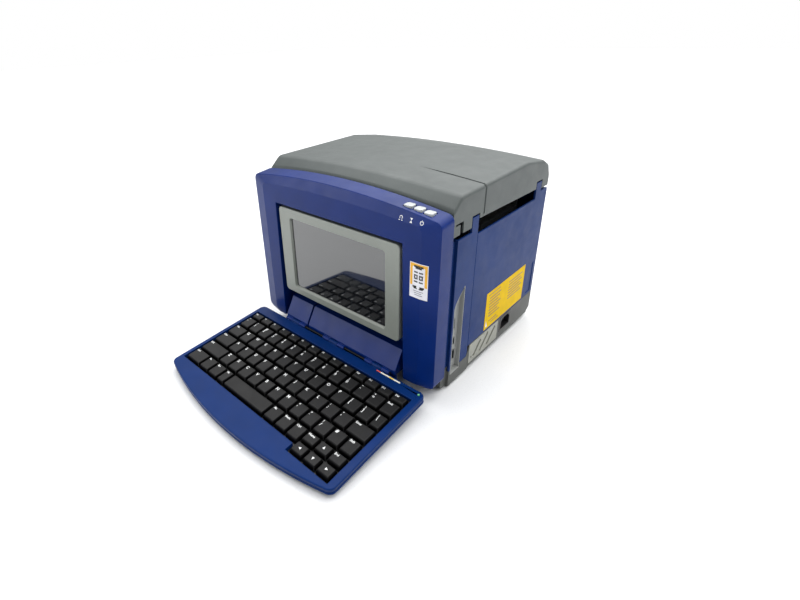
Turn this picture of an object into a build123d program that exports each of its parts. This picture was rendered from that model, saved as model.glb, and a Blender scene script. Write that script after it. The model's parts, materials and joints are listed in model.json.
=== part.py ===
"""Desktop sign and label printer with a touch display and a fold-up keyboard.

Millimetres. +X is to the right seen from the front, +Y to the back, +Z up. The origin lies on the
table, in the middle of the printer body's footprint (the keyboard tray is left out of that).
Labels leave through the slot in the right side, above the blue side cover.
"""

import os
from math import acos, atan2, cos, degrees, hypot, pi, radians, sin, tan

from build123d import *

os.makedirs("parts", exist_ok=True)

# ---------------------------------------------------------------- overall sizes
BEZEL_WIDTH = 290.0  # the front bezel, the widest piece
BODY_WIDTH = 284.0  # side covers, base and lid
NECK_WIDTH = 277.0  # the groove between the bezel and the body
DEPTH = 253.0  # front edge of the bezel's side face to the back
BEZEL_DEPTH = 21.6
NECK_DEPTH = 14.2
WALL = 2.5  # moulded covers
FIT = 0.3  # gap beside pieces that slide or seat in a window
PIN_FIT = 0.05  # radial running clearance of every pin and shaft

FRONT_Y = -DEPTH / 2
REAR_Y = DEPTH / 2
BEZEL_REAR = FRONT_Y + BEZEL_DEPTH
BODY_FRONT = BEZEL_REAR + NECK_DEPTH
BODY_HALF = BODY_WIDTH / 2
BEZEL_HALF = BEZEL_WIDTH / 2
NECK_HALF = NECK_WIDTH / 2
BODY_INNER = BODY_HALF - WALL

# ---------------------------------------------------------------- front bezel
BEZEL_BOTTOM = 20.7
BEZEL_SIDE_TOP = 221.0  # top edge of the bezel at its sides
BEZEL_ARCH = 10.6  # rise of the top edge at the middle
BEZEL_TOP_RISE = 2.5  # the top surface climbs this much towards the back
FACE_PROUD = 3.9  # the flat face stands out by this much
FACE_MARGIN = 19.8  # width of the sloped border at each side
FACE_SIDE_TOP = 213.6
FACE_ARCH = 4.9
LEG_RADIUS = 8.0
OPENING_HALF_TOP = 101.5
OPENING_HALF_BOTTOM = 105.4
OPENING_TOP = 191.4
FACE_Y = FRONT_Y - FACE_PROUD
CHASSIS_FRONT = -107.5  # front of the panel behind the display

# ---------------------------------------------------------------- base, covers and lid
BASE_BOTTOM = 5.0
FOOT_BOTTOM = 1.0  # the deeper front part of the base
FOOT_REAR = -52.0  # where the deeper part ends
BASE_TOP = 38.0
BASE_FRONT_TOP = 24.0
COLUMN_REAR = -50.7  # seam between the port column and the right cover
COLUMN_TOP = 191.4
RAIL_TOP = 186.0  # lower edge of the label exit
COVER_REAR_TOP = 193.6
SKIRT_BOTTOM = 197.2
SLOT_TOP = 199.5  # upper edge of the label exit, at its rear end
SLOT_TOP_FRONT = 203.6
FRONT_POST = (-63.7, -50.7, 207.8)  # y from, y to, top: tongues of the covers in the lid's notches
REAR_POST = (92.0, 106.5, 206.9)
POST_GAP = 1.1
NOTCH_HEADROOM = 2.0
SEAM = 0.4  # gap between neighbouring covers

LID_FRONT = BEZEL_REAR + 2.6
LID_SIDE = ((LID_FRONT, 224.3), (-86.9, 237.8), (-40.0, 238.6), (60.0, 240.3),
            (108.0, 232.8), (122.5, 225.5), (REAR_Y, 217.0))
LID_CROWN = (9.5, 6.0, 6.4, 6.0, 5.0, 4.5, 4.0)  # rise of those points at the middle
LID_AXIS_Y = 120.5
LID_AXIS_Z = 201.5
LID_PIN_RADIUS = 1.5
LID_LUG_RADIUS = 3.2
LID_LUG_X = (134.0, 138.0)  # ears of the rear cover
LID_EAR_X = (129.0, 133.6)  # ears of the lid

# ---------------------------------------------------------------- display
DISPLAY_HALF = 97.6
DISPLAY_BOTTOM = 66.7
DISPLAY_TOP = 187.5
DISPLAY_FRONT = FRONT_Y - 2.9
SCREEN_HALF = 76.1
SCREEN_BOTTOM = 77.8
SCREEN_TOP = 173.5
DISPLAY_PLATE = 2.9  # thickness of the silver frame in front of the glass
GLASS_THICKNESS = 1.2
DISPLAY_BACK = -113.0
DISPLAY_WALL = 2.5
DISPLAY_AXIS_Y = -122.5
DISPLAY_AXIS_Z = 182.0
DISPLAY_PIN_RADIUS = 2.0

# ---------------------------------------------------------------- keyboard tray
TRAY_HALF = 145.0
TRAY_REAR_Y = -139.55
TRAY_REAR_Z = 25.1
TRAY_TILT = 4.5
TRAY_LENGTH = 147.9  # at the sides
TRAY_BOW = 19.4  # the front edge bows out by this much
TRAY_THICKNESS = 9.5
TRAY_TOP_THICKNESS = 5.0
TRAY_RADIUS = 8.0
KEY_TRAVEL = 1.5
HINGE_Y = -138.1
HINGE_Z = 25.9
HINGE_PIN_RADIUS = 1.2
KNUCKLE_RADIUS = 2.6
KNUCKLE_SPOTS = (-73.0, 0.0, 73.0)
TRAY_KNUCKLE_HALF = 7.0
CASE_KNUCKLE_LENGTH = 11.7

# ---------------------------------------------------------------- hinge covers below the display
RAMP_BOTTOM = (-136.2, 30.0)
RAMP_TOP = (-122.6, 53.2)
RAMP_LEFT = -94.5
RAMP_RIGHT = 98.5
RAMP_SPLIT = -51.2
SPLIT_HALF = 1.2  # half of the slit between the two hinge covers
RAMP_FLOOR = 24.4
RAMP_REAR = -107.8
RAMP_WALL = 2.2
APRON = (-134.6, -132.6, 9.0)  # y from, y to, lower edge of the panel that hangs behind the hinge

# ---------------------------------------------------------------- label path inside
DECK_TOP = 50.5
DECK_THICKNESS = 2.5
MEDIA_Y = 21.0
MEDIA_WIDTH = 102.0
FRONT_PLATE_Y = -38.0  # inner faces of the two steel side plates
REAR_PLATE_Y = 80.0
PLATE_THICKNESS = 2.0
PATH_Z = 190.0  # underside of the label web
WEB_THICKNESS = 0.3
PLATEN_X = 75.0
PLATEN_RADIUS = 8.0
SHAFT_RADIUS = 3.0
ROLL_X = -72.0
ROLL_Z = 118.0
ROLL_RADIUS = 55.0
ROLL_CORE_RADIUS = 19.3
GEAR_MODULE = 1.0
PLATEN_TEETH = 44
PINION_TEETH = 16
IDLER_TEETH = 17
TAKEUP_TEETH = 20
PINION_DIRECTION = 250.0  # degrees from +X towards +Z, platen axis to motor axis
TAKEUP_DIRECTION = 41.1
GEAR_BACKLASH = 0.25
GEAR_WIDTH = 5.0
SUPPLY_X = 28.0
SUPPLY_Z = 212.0
ARM_X = 52.0
ARM_Z = 212.0
CUTTER_X = 118.0
CUTTER_Z = 175.0
PLATEN_Z = PATH_Z - FIT - PLATEN_RADIUS


# ================================================================ small helpers
def block(low, high, mode=Mode.ADD):
    """Add or cut a box between two opposite corners."""
    size = [b - a for a, b in zip(low, high)]
    centre = tuple((a + b) / 2 for a, b in zip(low, high))
    with Locations(centre):
        Box(*size, mode=mode)


def rod(start, end, radius, mode=Mode.ADD):
    """Add or cut a round bar from one point to another."""
    axis = Vector(*end) - Vector(*start)
    with BuildSketch(Plane(origin=start, z_dir=axis.normalized())) as outline:
        Circle(radius)
    extrude(outline.sketch, amount=axis.length, mode=mode)


def side_slab(points, x_from, x_to, mode=Mode.ADD):
    """Extrude an outline of (y, z) points along X."""
    with BuildSketch(Plane(origin=(x_from, 0, 0), x_dir=(0, 1, 0), z_dir=(1, 0, 0))) as outline:
        with BuildLine():
            Polyline(*points, close=True)
        make_face()
    extrude(outline.sketch, amount=x_to - x_from, mode=mode)


def front_slab(points, y_from, y_to, mode=Mode.ADD):
    """Extrude an outline of (x, z) points along Y."""
    with BuildSketch(Plane(origin=(0, y_to, 0), x_dir=(1, 0, 0), z_dir=(0, -1, 0))) as outline:
        with BuildLine():
            Polyline(*points, close=True)
        make_face()
    extrude(outline.sketch, amount=y_to - y_from, mode=mode)


def plan_slab(points, z_from, z_to, mode=Mode.ADD):
    """Extrude an outline of (x, y) points along Z."""
    with BuildSketch(Plane.XY.offset(z_from)) as outline:
        with BuildLine():
            Polyline(*points, close=True)
        make_face()
    extrude(outline.sketch, amount=z_to - z_from, mode=mode)


TRAY_EDGE = 1.0  # chamfer round the tray's top
TRAY_TIP_Y = (TRAY_REAR_Y - (TRAY_LENGTH + TRAY_BOW) * cos(radians(TRAY_TILT))
              + TRAY_EDGE * sin(radians(TRAY_TILT)))
ORIGIN_SHIFT = -(REAR_Y + TRAY_TIP_Y) / 2  # puts the origin under the middle of the whole machine


def finish(builder, name):
    """Label a finished piece and write its STEP file, moved to the machine's common origin."""
    piece = builder.part.moved(Location((0, ORIGIN_SHIFT, 0)))
    piece.label = name
    export_step(piece, f"parts/{name}.step")


def front_plane(y):
    """Plane seen from the front: local x is X and local y is Z."""
    return Plane(origin=(0, y, 0), x_dir=(1, 0, 0), z_dir=(0, -1, 0))


# ================================================================ front bezel
def bezel_section(y, half, bottom, side_top, arch, radius):
    """Face with the arched bezel outline, in the plane at y."""
    with BuildSketch(front_plane(y)) as section:
        with BuildLine():
            Line((-half, side_top), (-half, bottom))
            Line((-half, bottom), (half, bottom))
            Line((half, bottom), (half, side_top))
            ThreePointArc((half, side_top), (0, side_top + arch), (-half, side_top))
        make_face()
        fillet(section.vertices().group_by(Axis.Z)[0], radius)
    return section.sketch


def opening_outline(grow):
    """Outline of the tall opening between the bezel's legs, grown sideways and upwards."""
    return [(-OPENING_HALF_BOTTOM - grow, BEZEL_BOTTOM), (OPENING_HALF_BOTTOM + grow, BEZEL_BOTTOM),
            (OPENING_HALF_TOP + grow, OPENING_TOP + grow), (-OPENING_HALF_TOP - grow, OPENING_TOP + grow)]


BUTTON_X = (100.0, 112.3, 124.5)
BUTTON_SIZE = (10.4, 9.6)
BUTTON_Y = -116.8
BUTTON_TRAVEL = 1.5
BUTTON_PROUD = 1.4
BUTTON_BOTTOM = 219.0
SWITCH_TOP = BUTTON_BOTTOM - BUTTON_TRAVEL - 0.2


def bezel_top_at(x):
    """Height of the bezel's top surface above a button."""
    slope = BEZEL_TOP_RISE * (BUTTON_Y - FRONT_Y) / BEZEL_DEPTH
    return BEZEL_SIDE_TOP + BEZEL_ARCH * (1 - (x / BEZEL_HALF) ** 2) + slope


with BuildPart() as front_bezel:
    rear = bezel_section(BEZEL_REAR, BEZEL_HALF, BEZEL_BOTTOM, BEZEL_SIDE_TOP + BEZEL_TOP_RISE,
                         BEZEL_ARCH, LEG_RADIUS)
    edge = bezel_section(FRONT_Y, BEZEL_HALF, BEZEL_BOTTOM, BEZEL_SIDE_TOP, BEZEL_ARCH, LEG_RADIUS)
    face = bezel_section(FACE_Y, BEZEL_HALF - FACE_MARGIN, BEZEL_BOTTOM, FACE_SIDE_TOP, FACE_ARCH,
                         LEG_RADIUS)
    loft([rear, edge, face], ruled=True)
    inner_half = BEZEL_HALF - WALL
    inner_bottom = BEZEL_BOTTOM + WALL
    inner_radius = LEG_RADIUS - WALL
    inner_rear = bezel_section(BEZEL_REAR + 1, inner_half, inner_bottom, BEZEL_SIDE_TOP - 0.5,
                               BEZEL_ARCH, inner_radius)
    inner_edge = bezel_section(FRONT_Y + 3, inner_half, inner_bottom, BEZEL_SIDE_TOP - WALL - 0.5,
                               BEZEL_ARCH, inner_radius)
    inner_face = bezel_section(FACE_Y + 3.2, inner_half - FACE_MARGIN, inner_bottom,
                               FACE_SIDE_TOP - 2, FACE_ARCH, inner_radius)
    loft([inner_rear, inner_edge, inner_face], ruled=True, mode=Mode.SUBTRACT)
    front_slab(opening_outline(2.4), FACE_Y + 1, CHASSIS_FRONT)
    front_slab([(x, z - 1 if z < 30 else z) for x, z in opening_outline(0)], FACE_Y - 1,
               BEZEL_REAR + 1, Mode.SUBTRACT)
    for x in BUTTON_X:
        block((x - BUTTON_SIZE[0] / 2 - FIT, BUTTON_Y - BUTTON_SIZE[1] / 2 - FIT, 215.0),
              (x + BUTTON_SIZE[0] / 2 + FIT, BUTTON_Y + BUTTON_SIZE[1] / 2 + FIT, 240.0),
              Mode.SUBTRACT)
    for side in (-1, 1):
        rod((side * 99.0, DISPLAY_AXIS_Y, DISPLAY_AXIS_Z), (side * 104.8, DISPLAY_AXIS_Y, DISPLAY_AXIS_Z),
            DISPLAY_PIN_RADIUS + PIN_FIT, Mode.SUBTRACT)
finish(front_bezel, "front_bezel")

# ================================================================ function buttons on the bezel
for name, x in zip(("feed_button", "cut_button", "power_button"), BUTTON_X):
    top = bezel_top_at(x) + BUTTON_PROUD
    with BuildPart() as button:
        block((x - BUTTON_SIZE[0] / 2, BUTTON_Y - BUTTON_SIZE[1] / 2, BUTTON_BOTTOM),
              (x + BUTTON_SIZE[0] / 2, BUTTON_Y + BUTTON_SIZE[1] / 2, top))
        fillet(button.edges().filter_by(Axis.Z), 2.5)
        fillet(button.edges().group_by(Axis.Z)[-1], 0.7)
    finish(button, name)

BOARD_THICKNESS = 1.6
with BuildPart() as button_board:
    block((92.0, -123.0, SWITCH_TOP - 3.6 - BOARD_THICKNESS), (133.0, CHASSIS_FRONT, SWITCH_TOP - 3.6))
    for x in BUTTON_X:
        block((x - 3, BUTTON_Y - 3, SWITCH_TOP - 3.6), (x + 3, BUTTON_Y + 3, SWITCH_TOP - 1.0))
        rod((x, BUTTON_Y, SWITCH_TOP - 1.0), (x, BUTTON_Y, SWITCH_TOP), 1.6)
finish(button_board, "button_board")

# ================================================================ front chassis behind the bezel
PANEL_SIDE_TOP = 218.0
with BuildPart() as front_chassis:
    panel_half = BODY_HALF - 0.6
    with BuildSketch(front_plane(BEZEL_REAR)):
        with BuildLine():
            Line((-panel_half, PANEL_SIDE_TOP), (-panel_half, BEZEL_BOTTOM + WALL + FIT))
            Line((-panel_half, BEZEL_BOTTOM + WALL + FIT), (panel_half, BEZEL_BOTTOM + WALL + FIT))
            Line((panel_half, BEZEL_BOTTOM + WALL + FIT), (panel_half, PANEL_SIDE_TOP))
            ThreePointArc((panel_half, PANEL_SIDE_TOP), (0, 229.5), (-panel_half, PANEL_SIDE_TOP))
        make_face()
    extrude(amount=BEZEL_REAR - CHASSIS_FRONT)
    for edge in (-1, 1):  # relief for the rounded bottoms of the bezel's legs
        block((edge * 138.0 - 4.5, CHASSIS_FRONT - 1, 20.0), (edge * 138.0 + 4.5, BEZEL_REAR + 1, 34.0),
              Mode.SUBTRACT)
    front_slab([(-NECK_HALF, 30.5), (NECK_HALF, 30.5), (NECK_HALF, COLUMN_TOP - 1.4),
                (-NECK_HALF, COLUMN_TOP - 1.4)], BEZEL_REAR, BODY_FRONT)
    block((-NECK_HALF + 3, BEZEL_REAR, 33.5), (NECK_HALF - 3, BODY_FRONT, COLUMN_TOP - 4.4),
          Mode.SUBTRACT)
finish(front_chassis, "front_chassis")

# ================================================================ base tray
PORT_WINDOW = [(-87.8, 17.6), (-67.5, 17.6), (-67.5, 130.0), (-69.5, 130.0), (-85.5, 114.0),
               (-87.8, 108.0)]  # outline (y, z) of the recess for the sockets
VENT_WINDOW = (-46.0, 26.0, 9.5, 36.8)  # y from, y to, z from, z to
INLET_WINDOW = (33.0, 63.0, 14.5, 36.8)
FOOT_PADS = ((-118.0, -72.0), (118.0, -72.0), (-118.0, 104.0), (118.0, 104.0))
PAD_RADIUS = 9.0
POSTS = ((-126.0, -58.0), (126.0, -58.0), (-126.0, 86.0), (126.0, 86.0))
POST_RADIUS = 4.5
SCREW_RADIUS = 1.5
SCREW_HEAD_RADIUS = 3.0
BASE_FLOOR = BASE_BOTTOM + WALL

with BuildPart() as base_tray:
    base_outline = [(BODY_FRONT, FOOT_BOTTOM), (FOOT_REAR, FOOT_BOTTOM), (-46.0, BASE_BOTTOM),
                    (117.0, BASE_BOTTOM), (REAR_Y, 12.0), (REAR_Y, BASE_TOP), (-46.0, BASE_TOP),
                    (COLUMN_REAR - 1.3, BASE_FRONT_TOP), (BODY_FRONT, BASE_FRONT_TOP)]
    side_slab(base_outline, -BODY_HALF, BODY_HALF)
    neck_outline = [(BEZEL_REAR + 3.0, 6.0), (-97.5, FOOT_BOTTOM), (BODY_FRONT, FOOT_BOTTOM),
                    (BODY_FRONT, 30.2), (BEZEL_REAR + 3.0, 30.2)]
    side_slab(neck_outline, -NECK_HALF, NECK_HALF)
    bottom_edges = base_tray.edges().filter_by(Axis.Y).group_by(Axis.Z)[0]
    chamfer(bottom_edges, 2.0)
    hollow_outline = [(BEZEL_REAR + 5.5, 7.2), (-96.0, FOOT_BOTTOM + WALL),
                      (FOOT_REAR - 2, FOOT_BOTTOM + WALL), (-46.5, BASE_FLOOR),
                      (116.0, BASE_FLOOR), (REAR_Y - WALL, 13.5), (REAR_Y - WALL, 60.0),
                      (BEZEL_REAR + 5.5, 60.0)]
    side_slab(hollow_outline, -NECK_HALF + WALL, NECK_HALF - WALL, Mode.SUBTRACT)
    body_hollow = [(BODY_FRONT + WALL, FOOT_BOTTOM + WALL), (FOOT_REAR - 2, FOOT_BOTTOM + WALL),
                   (-46.5, BASE_FLOOR), (116.0, BASE_FLOOR), (REAR_Y - WALL, 13.5),
                   (REAR_Y - WALL, 60.0), (BODY_FRONT + WALL, 60.0)]
    side_slab(body_hollow, -BODY_INNER, BODY_INNER, Mode.SUBTRACT)
    for x, y in POSTS:
        rod((x, y, FOOT_BOTTOM if y < FOOT_REAR else BASE_BOTTOM), (x, y, DECK_TOP - DECK_THICKNESS),
            POST_RADIUS)
        rod((x, y, 0), (x, y, DECK_TOP - DECK_THICKNESS - 4), SCREW_RADIUS + 0.1, Mode.SUBTRACT)
        rod((x, y, 0), (x, y, (FOOT_BOTTOM if y < FOOT_REAR else BASE_BOTTOM) + 2.2),
            SCREW_HEAD_RADIUS + 0.2, Mode.SUBTRACT)
    for x, y in FOOT_PADS:
        pad_seat = (FOOT_BOTTOM if y < FOOT_REAR else BASE_BOTTOM) + 1.0
        rod((x, y, 0), (x, y, pad_seat), PAD_RADIUS + FIT, Mode.SUBTRACT)
    block((BODY_INNER - 1, VENT_WINDOW[0] - 0.2, VENT_WINDOW[2] - 0.2),
          (BODY_HALF + 1, VENT_WINDOW[1] + 0.2, VENT_WINDOW[3] + 0.2), Mode.SUBTRACT)
    block((BODY_INNER - 1, INLET_WINDOW[0] - 0.2, INLET_WINDOW[2] - 0.2),
          (BODY_HALF + 1, INLET_WINDOW[1] + 0.2, INLET_WINDOW[3] + 0.2), Mode.SUBTRACT)
    block((BODY_INNER - 1, PORT_WINDOW[0][0] - 0.2, PORT_WINDOW[0][1] - 0.2),
          (BODY_HALF + 1, PORT_WINDOW[1][0] + 0.2, BASE_FRONT_TOP + 1), Mode.SUBTRACT)
finish(base_tray, "base_tray")

with BuildPart() as rubber_feet:
    for x, y in FOOT_PADS:
        pad_top = (FOOT_BOTTOM if y < FOOT_REAR else BASE_BOTTOM) + 1.0
        rod((x, y, 0), (x, y, pad_top), PAD_RADIUS)
finish(rubber_feet, "rubber_feet")

with BuildPart() as case_screws:
    for x, y in POSTS:
        under = FOOT_BOTTOM if y < FOOT_REAR else BASE_BOTTOM
        rod((x, y, under + 0.4), (x, y, under + 2.2), SCREW_HEAD_RADIUS)
        rod((x, y, under + 2.2), (x, y, under + 30.0), SCREW_RADIUS)
        block((x - 0.4, y - 1.8, under), (x + 0.4, y + 1.8, under + 1.2), Mode.SUBTRACT)
        block((x - 1.8, y - 0.4, under), (x + 1.8, y + 0.4, under + 1.2), Mode.SUBTRACT)
finish(case_screws, "case_screws")

# ================================================================ side and rear covers
POCKET = (105.0, 119.0, 42.0, 88.0)  # shallow hand recess near the back of the right cover


def cover_corner(side, top):
    """Front return of a side cover, which closes the body beside the neck."""
    low, high = sorted((side * (NECK_HALF - 16), side * BODY_HALF))
    block((low, BODY_FRONT, 31.0), (high, BODY_FRONT + WALL, top))


with BuildPart() as port_column:
    column_outline = [(BODY_FRONT, BASE_FRONT_TOP + SEAM), (COLUMN_REAR - 1.7, BASE_FRONT_TOP + SEAM),
                      (COLUMN_REAR, 29.0), (COLUMN_REAR, FRONT_POST[2]), (FRONT_POST[0], FRONT_POST[2]),
                      (FRONT_POST[0], COLUMN_TOP), (BODY_FRONT, COLUMN_TOP)]
    side_slab(column_outline, BODY_INNER, BODY_HALF)
    cover_corner(1, COLUMN_TOP)
    side_slab(PORT_WINDOW, BODY_INNER - 1, BODY_HALF + 1, Mode.SUBTRACT)
finish(port_column, "port_column")

cover_outline = [(COLUMN_REAR + SEAM, BASE_TOP + SEAM), (REAR_Y, BASE_TOP + SEAM),
                 (REAR_Y, COVER_REAR_TOP), (REAR_POST[1], COVER_REAR_TOP), (REAR_POST[1], REAR_POST[2]),
                 (REAR_POST[0], REAR_POST[2]), (REAR_POST[0], RAIL_TOP), (COLUMN_REAR + SEAM, RAIL_TOP)]

with BuildPart() as right_cover:
    side_slab(cover_outline, BODY_INNER, BODY_HALF)
    block((BODY_HALF - 0.9, POCKET[0], POCKET[2]), (BODY_HALF + 1, POCKET[1], POCKET[3]),
          Mode.SUBTRACT)
    block((BODY_HALF - 5.5, COLUMN_REAR + SEAM, BASE_TOP + 6), (BODY_INNER, COLUMN_REAR + 3, RAIL_TOP - 6))
finish(right_cover, "right_cover")

with BuildPart() as left_cover:
    left_outline = [(BODY_FRONT, BASE_FRONT_TOP + SEAM), (COLUMN_REAR - 1.7, BASE_FRONT_TOP + SEAM),
                    (-46.6, BASE_TOP + SEAM), (REAR_Y, BASE_TOP + SEAM), (REAR_Y, COVER_REAR_TOP),
                    (REAR_POST[1], COVER_REAR_TOP), (REAR_POST[1], REAR_POST[2]),
                    (REAR_POST[0], REAR_POST[2]), (REAR_POST[0], COLUMN_TOP),
                    (FRONT_POST[1], COLUMN_TOP), (FRONT_POST[1], FRONT_POST[2]),
                    (FRONT_POST[0], FRONT_POST[2]), (FRONT_POST[0], COLUMN_TOP), (BODY_FRONT, COLUMN_TOP)]
    side_slab(left_outline, -BODY_HALF, -BODY_INNER)
    cover_corner(-1, COLUMN_TOP)
finish(left_cover, "left_cover")

with BuildPart() as rear_cover:
    rear_half = BODY_INNER - 0.2
    block((-rear_half, REAR_Y - WALL, BASE_TOP + SEAM), (rear_half, REAR_Y, COVER_REAR_TOP))
    for side in (-1, 1):
        low, high = sorted((side * LID_LUG_X[0], side * LID_LUG_X[1]))
        block((low, LID_AXIS_Y - LID_LUG_RADIUS, 176.0), (high, LID_AXIS_Y + LID_LUG_RADIUS, LID_AXIS_Z))
        block((low, LID_AXIS_Y, 170.0), (high, REAR_Y - 1, COVER_REAR_TOP))
        rod((low, LID_AXIS_Y, LID_AXIS_Z), (high, LID_AXIS_Y, LID_AXIS_Z), LID_LUG_RADIUS)
        rod((low - 1, LID_AXIS_Y, LID_AXIS_Z), (high + 1, LID_AXIS_Y, LID_AXIS_Z),
            LID_PIN_RADIUS + PIN_FIT, Mode.SUBTRACT)
    with Locations((-60.0, REAR_Y - WALL / 2, 70.0)):
        with GridLocations(9.0, 1.0, 8, 1):
            Box(3.5, WALL * 2, 30.0, mode=Mode.SUBTRACT)
finish(rear_cover, "rear_cover")

# ================================================================ sockets, power inlet and grille
PORT_DEPTH = 5.5
PORT_FACE = BODY_HALF - PORT_DEPTH
PORT_PLATE = 1.8
SOCKET_Y = -78.6
SOCKETS = ((110.6, 6.6, 14.4), (82.1, 6.6, 14.4), (58.0, 9.4, 10.4), (38.6, 12.6, 13.6))  # z, w, h
SOCKET_WALL = 0.8
SOCKET_LENGTH = 16.0


def shrink(points, amount):
    """Move each (y, z) point of the socket recess towards its middle."""
    middle = (-77.65, 74.0)
    moved = []
    for y, z in points:
        moved.append((y + amount if y < middle[0] else y - amount,
                      z + amount if z < middle[1] else z - amount))
    return moved


with BuildPart() as port_panel:
    side_slab(shrink(PORT_WINDOW, 0.2), PORT_FACE - PORT_PLATE, BODY_HALF)
    side_slab(shrink(PORT_WINDOW, 1.3), PORT_FACE, BODY_HALF + 1, Mode.SUBTRACT)
    for z, width, height in SOCKETS:
        block((PORT_FACE - 5, SOCKET_Y - width / 2 - 0.2, z - height / 2 - 0.2),
              (PORT_FACE + 1, SOCKET_Y + width / 2 + 0.2, z + height / 2 + 0.2), Mode.SUBTRACT)
finish(port_panel, "port_panel")

with BuildPart() as port_sockets:
    for z, width, height in SOCKETS:
        block((PORT_FACE - SOCKET_LENGTH, SOCKET_Y - width / 2, z - height / 2),
              (PORT_FACE + 0.3, SOCKET_Y + width / 2, z + height / 2))
        block((PORT_FACE - SOCKET_LENGTH + 3, SOCKET_Y - width / 2 + SOCKET_WALL,
               z - height / 2 + SOCKET_WALL),
              (PORT_FACE + 1, SOCKET_Y + width / 2 - SOCKET_WALL, z + height / 2 - SOCKET_WALL),
              Mode.SUBTRACT)
    for z, width, height in SOCKETS[:2]:  # contact tongues of the two host sockets
        block((PORT_FACE - SOCKET_LENGTH + 2, SOCKET_Y - 0.2, z - 5.0),
              (PORT_FACE - 1.5, SOCKET_Y + 1.5, z + 5.0))
    z = SOCKETS[2][0]
    block((PORT_FACE - SOCKET_LENGTH + 2, SOCKET_Y - 1.6, z - 2.4),
          (PORT_FACE - 1.5, SOCKET_Y + 1.6, z + 2.4))
finish(port_sockets, "port_sockets")

with BuildPart() as vent_grille:
    block((BODY_INNER, VENT_WINDOW[0], VENT_WINDOW[2]), (BODY_HALF + 0.5, VENT_WINDOW[1], VENT_WINDOW[3]))
    for start, end in (((-35.5, 14.5), (-18.0, 32.0)), ((-19.5, 13.5), (0.5, 33.5)),
                       ((-1.5, 13.5), (18.5, 33.5))):
        run = Vector(end[0] - start[0], end[1] - start[1])
        with BuildSketch(Plane(origin=(BODY_INNER - 1, 0, 0), x_dir=(0, 1, 0), z_dir=(1, 0, 0))):
            with Locations(((start[0] + end[0]) / 2, (start[1] + end[1]) / 2)):
                SlotOverall(run.length, 4.4, rotation=degrees(atan2(run.Y, run.X)))
        extrude(amount=WALL + 3, mode=Mode.SUBTRACT)
    rod((BODY_INNER - 1, -40.2, 16.4), (BODY_HALF + 1, -40.2, 16.4), 1.8, Mode.SUBTRACT)
finish(vent_grille, "vent_grille")

INLET_DEPTH = 20.0
with BuildPart() as power_inlet:
    block((BODY_HALF - 28, INLET_WINDOW[0], INLET_WINDOW[2]),
          (BODY_HALF + 0.3, INLET_WINDOW[1], INLET_WINDOW[3]))
    inlet_y = (INLET_WINDOW[0] + INLET_WINDOW[1]) / 2
    inlet_z = (INLET_WINDOW[2] + INLET_WINDOW[3]) / 2
    side_slab([(inlet_y - 12.2, inlet_z - 8.4), (inlet_y + 12.2, inlet_z - 8.4),
               (inlet_y + 12.2, inlet_z + 3.4),
               (inlet_y + 7.2, inlet_z + 8.4), (inlet_y - 7.2, inlet_z + 8.4), (inlet_y - 12.2,
                                                                                inlet_z + 3.4)],
              BODY_HALF - INLET_DEPTH, BODY_HALF + 1, Mode.SUBTRACT)
    for dy, dz in ((-7.0, -2.0), (0.0, 2.0), (7.0, -2.0)):
        block((BODY_HALF - INLET_DEPTH - 1, inlet_y + dy - 1.0, inlet_z + dz - 2.0),
              (BODY_HALF - 5.0, inlet_y + dy + 1.0, inlet_z + dz + 2.0))
finish(power_inlet, "power_inlet")

STICKER_THICKNESS = 0.3
with BuildPart() as side_label:
    block((BODY_HALF, -13.0, 41.0), (BODY_HALF + STICKER_THICKNESS, 92.0, 94.0))
finish(side_label, "side_label")

with BuildPart() as front_sticker:
    slope = FACE_PROUD / FACE_MARGIN
    bend = BEZEL_HALF - FACE_MARGIN
    sticker_end = 133.4
    end_y = FACE_Y + (sticker_end - bend) * slope
    plan_slab([(112.1, FACE_Y), (bend, FACE_Y), (sticker_end, end_y),
               (sticker_end, end_y - STICKER_THICKNESS),
               (bend, FACE_Y - STICKER_THICKNESS), (112.1, FACE_Y - STICKER_THICKNESS)], 134.9, 175.0)
finish(front_sticker, "front_sticker")

# ================================================================ lid
def lid_section(x, lift, inset):
    """Side outline of the lid at x, raised by a share of the crown and inset by a wall."""
    points = []
    for (y, z), crown in zip(LID_SIDE, LID_CROWN):
        points.append((max(LID_FRONT + inset, min(REAR_Y - inset, y)), z + crown * lift - inset * 1.2))
    low = SKIRT_BOTTOM - inset * 4
    outline = [(LID_FRONT + inset, low)] + points + [(REAR_Y - inset, low)]
    with BuildSketch(Plane(origin=(x, 0, 0), x_dir=(0, 1, 0), z_dir=(1, 0, 0))) as section:
        with BuildLine():
            Polyline(*outline, close=True)
        make_face()
    return section.sketch


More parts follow.
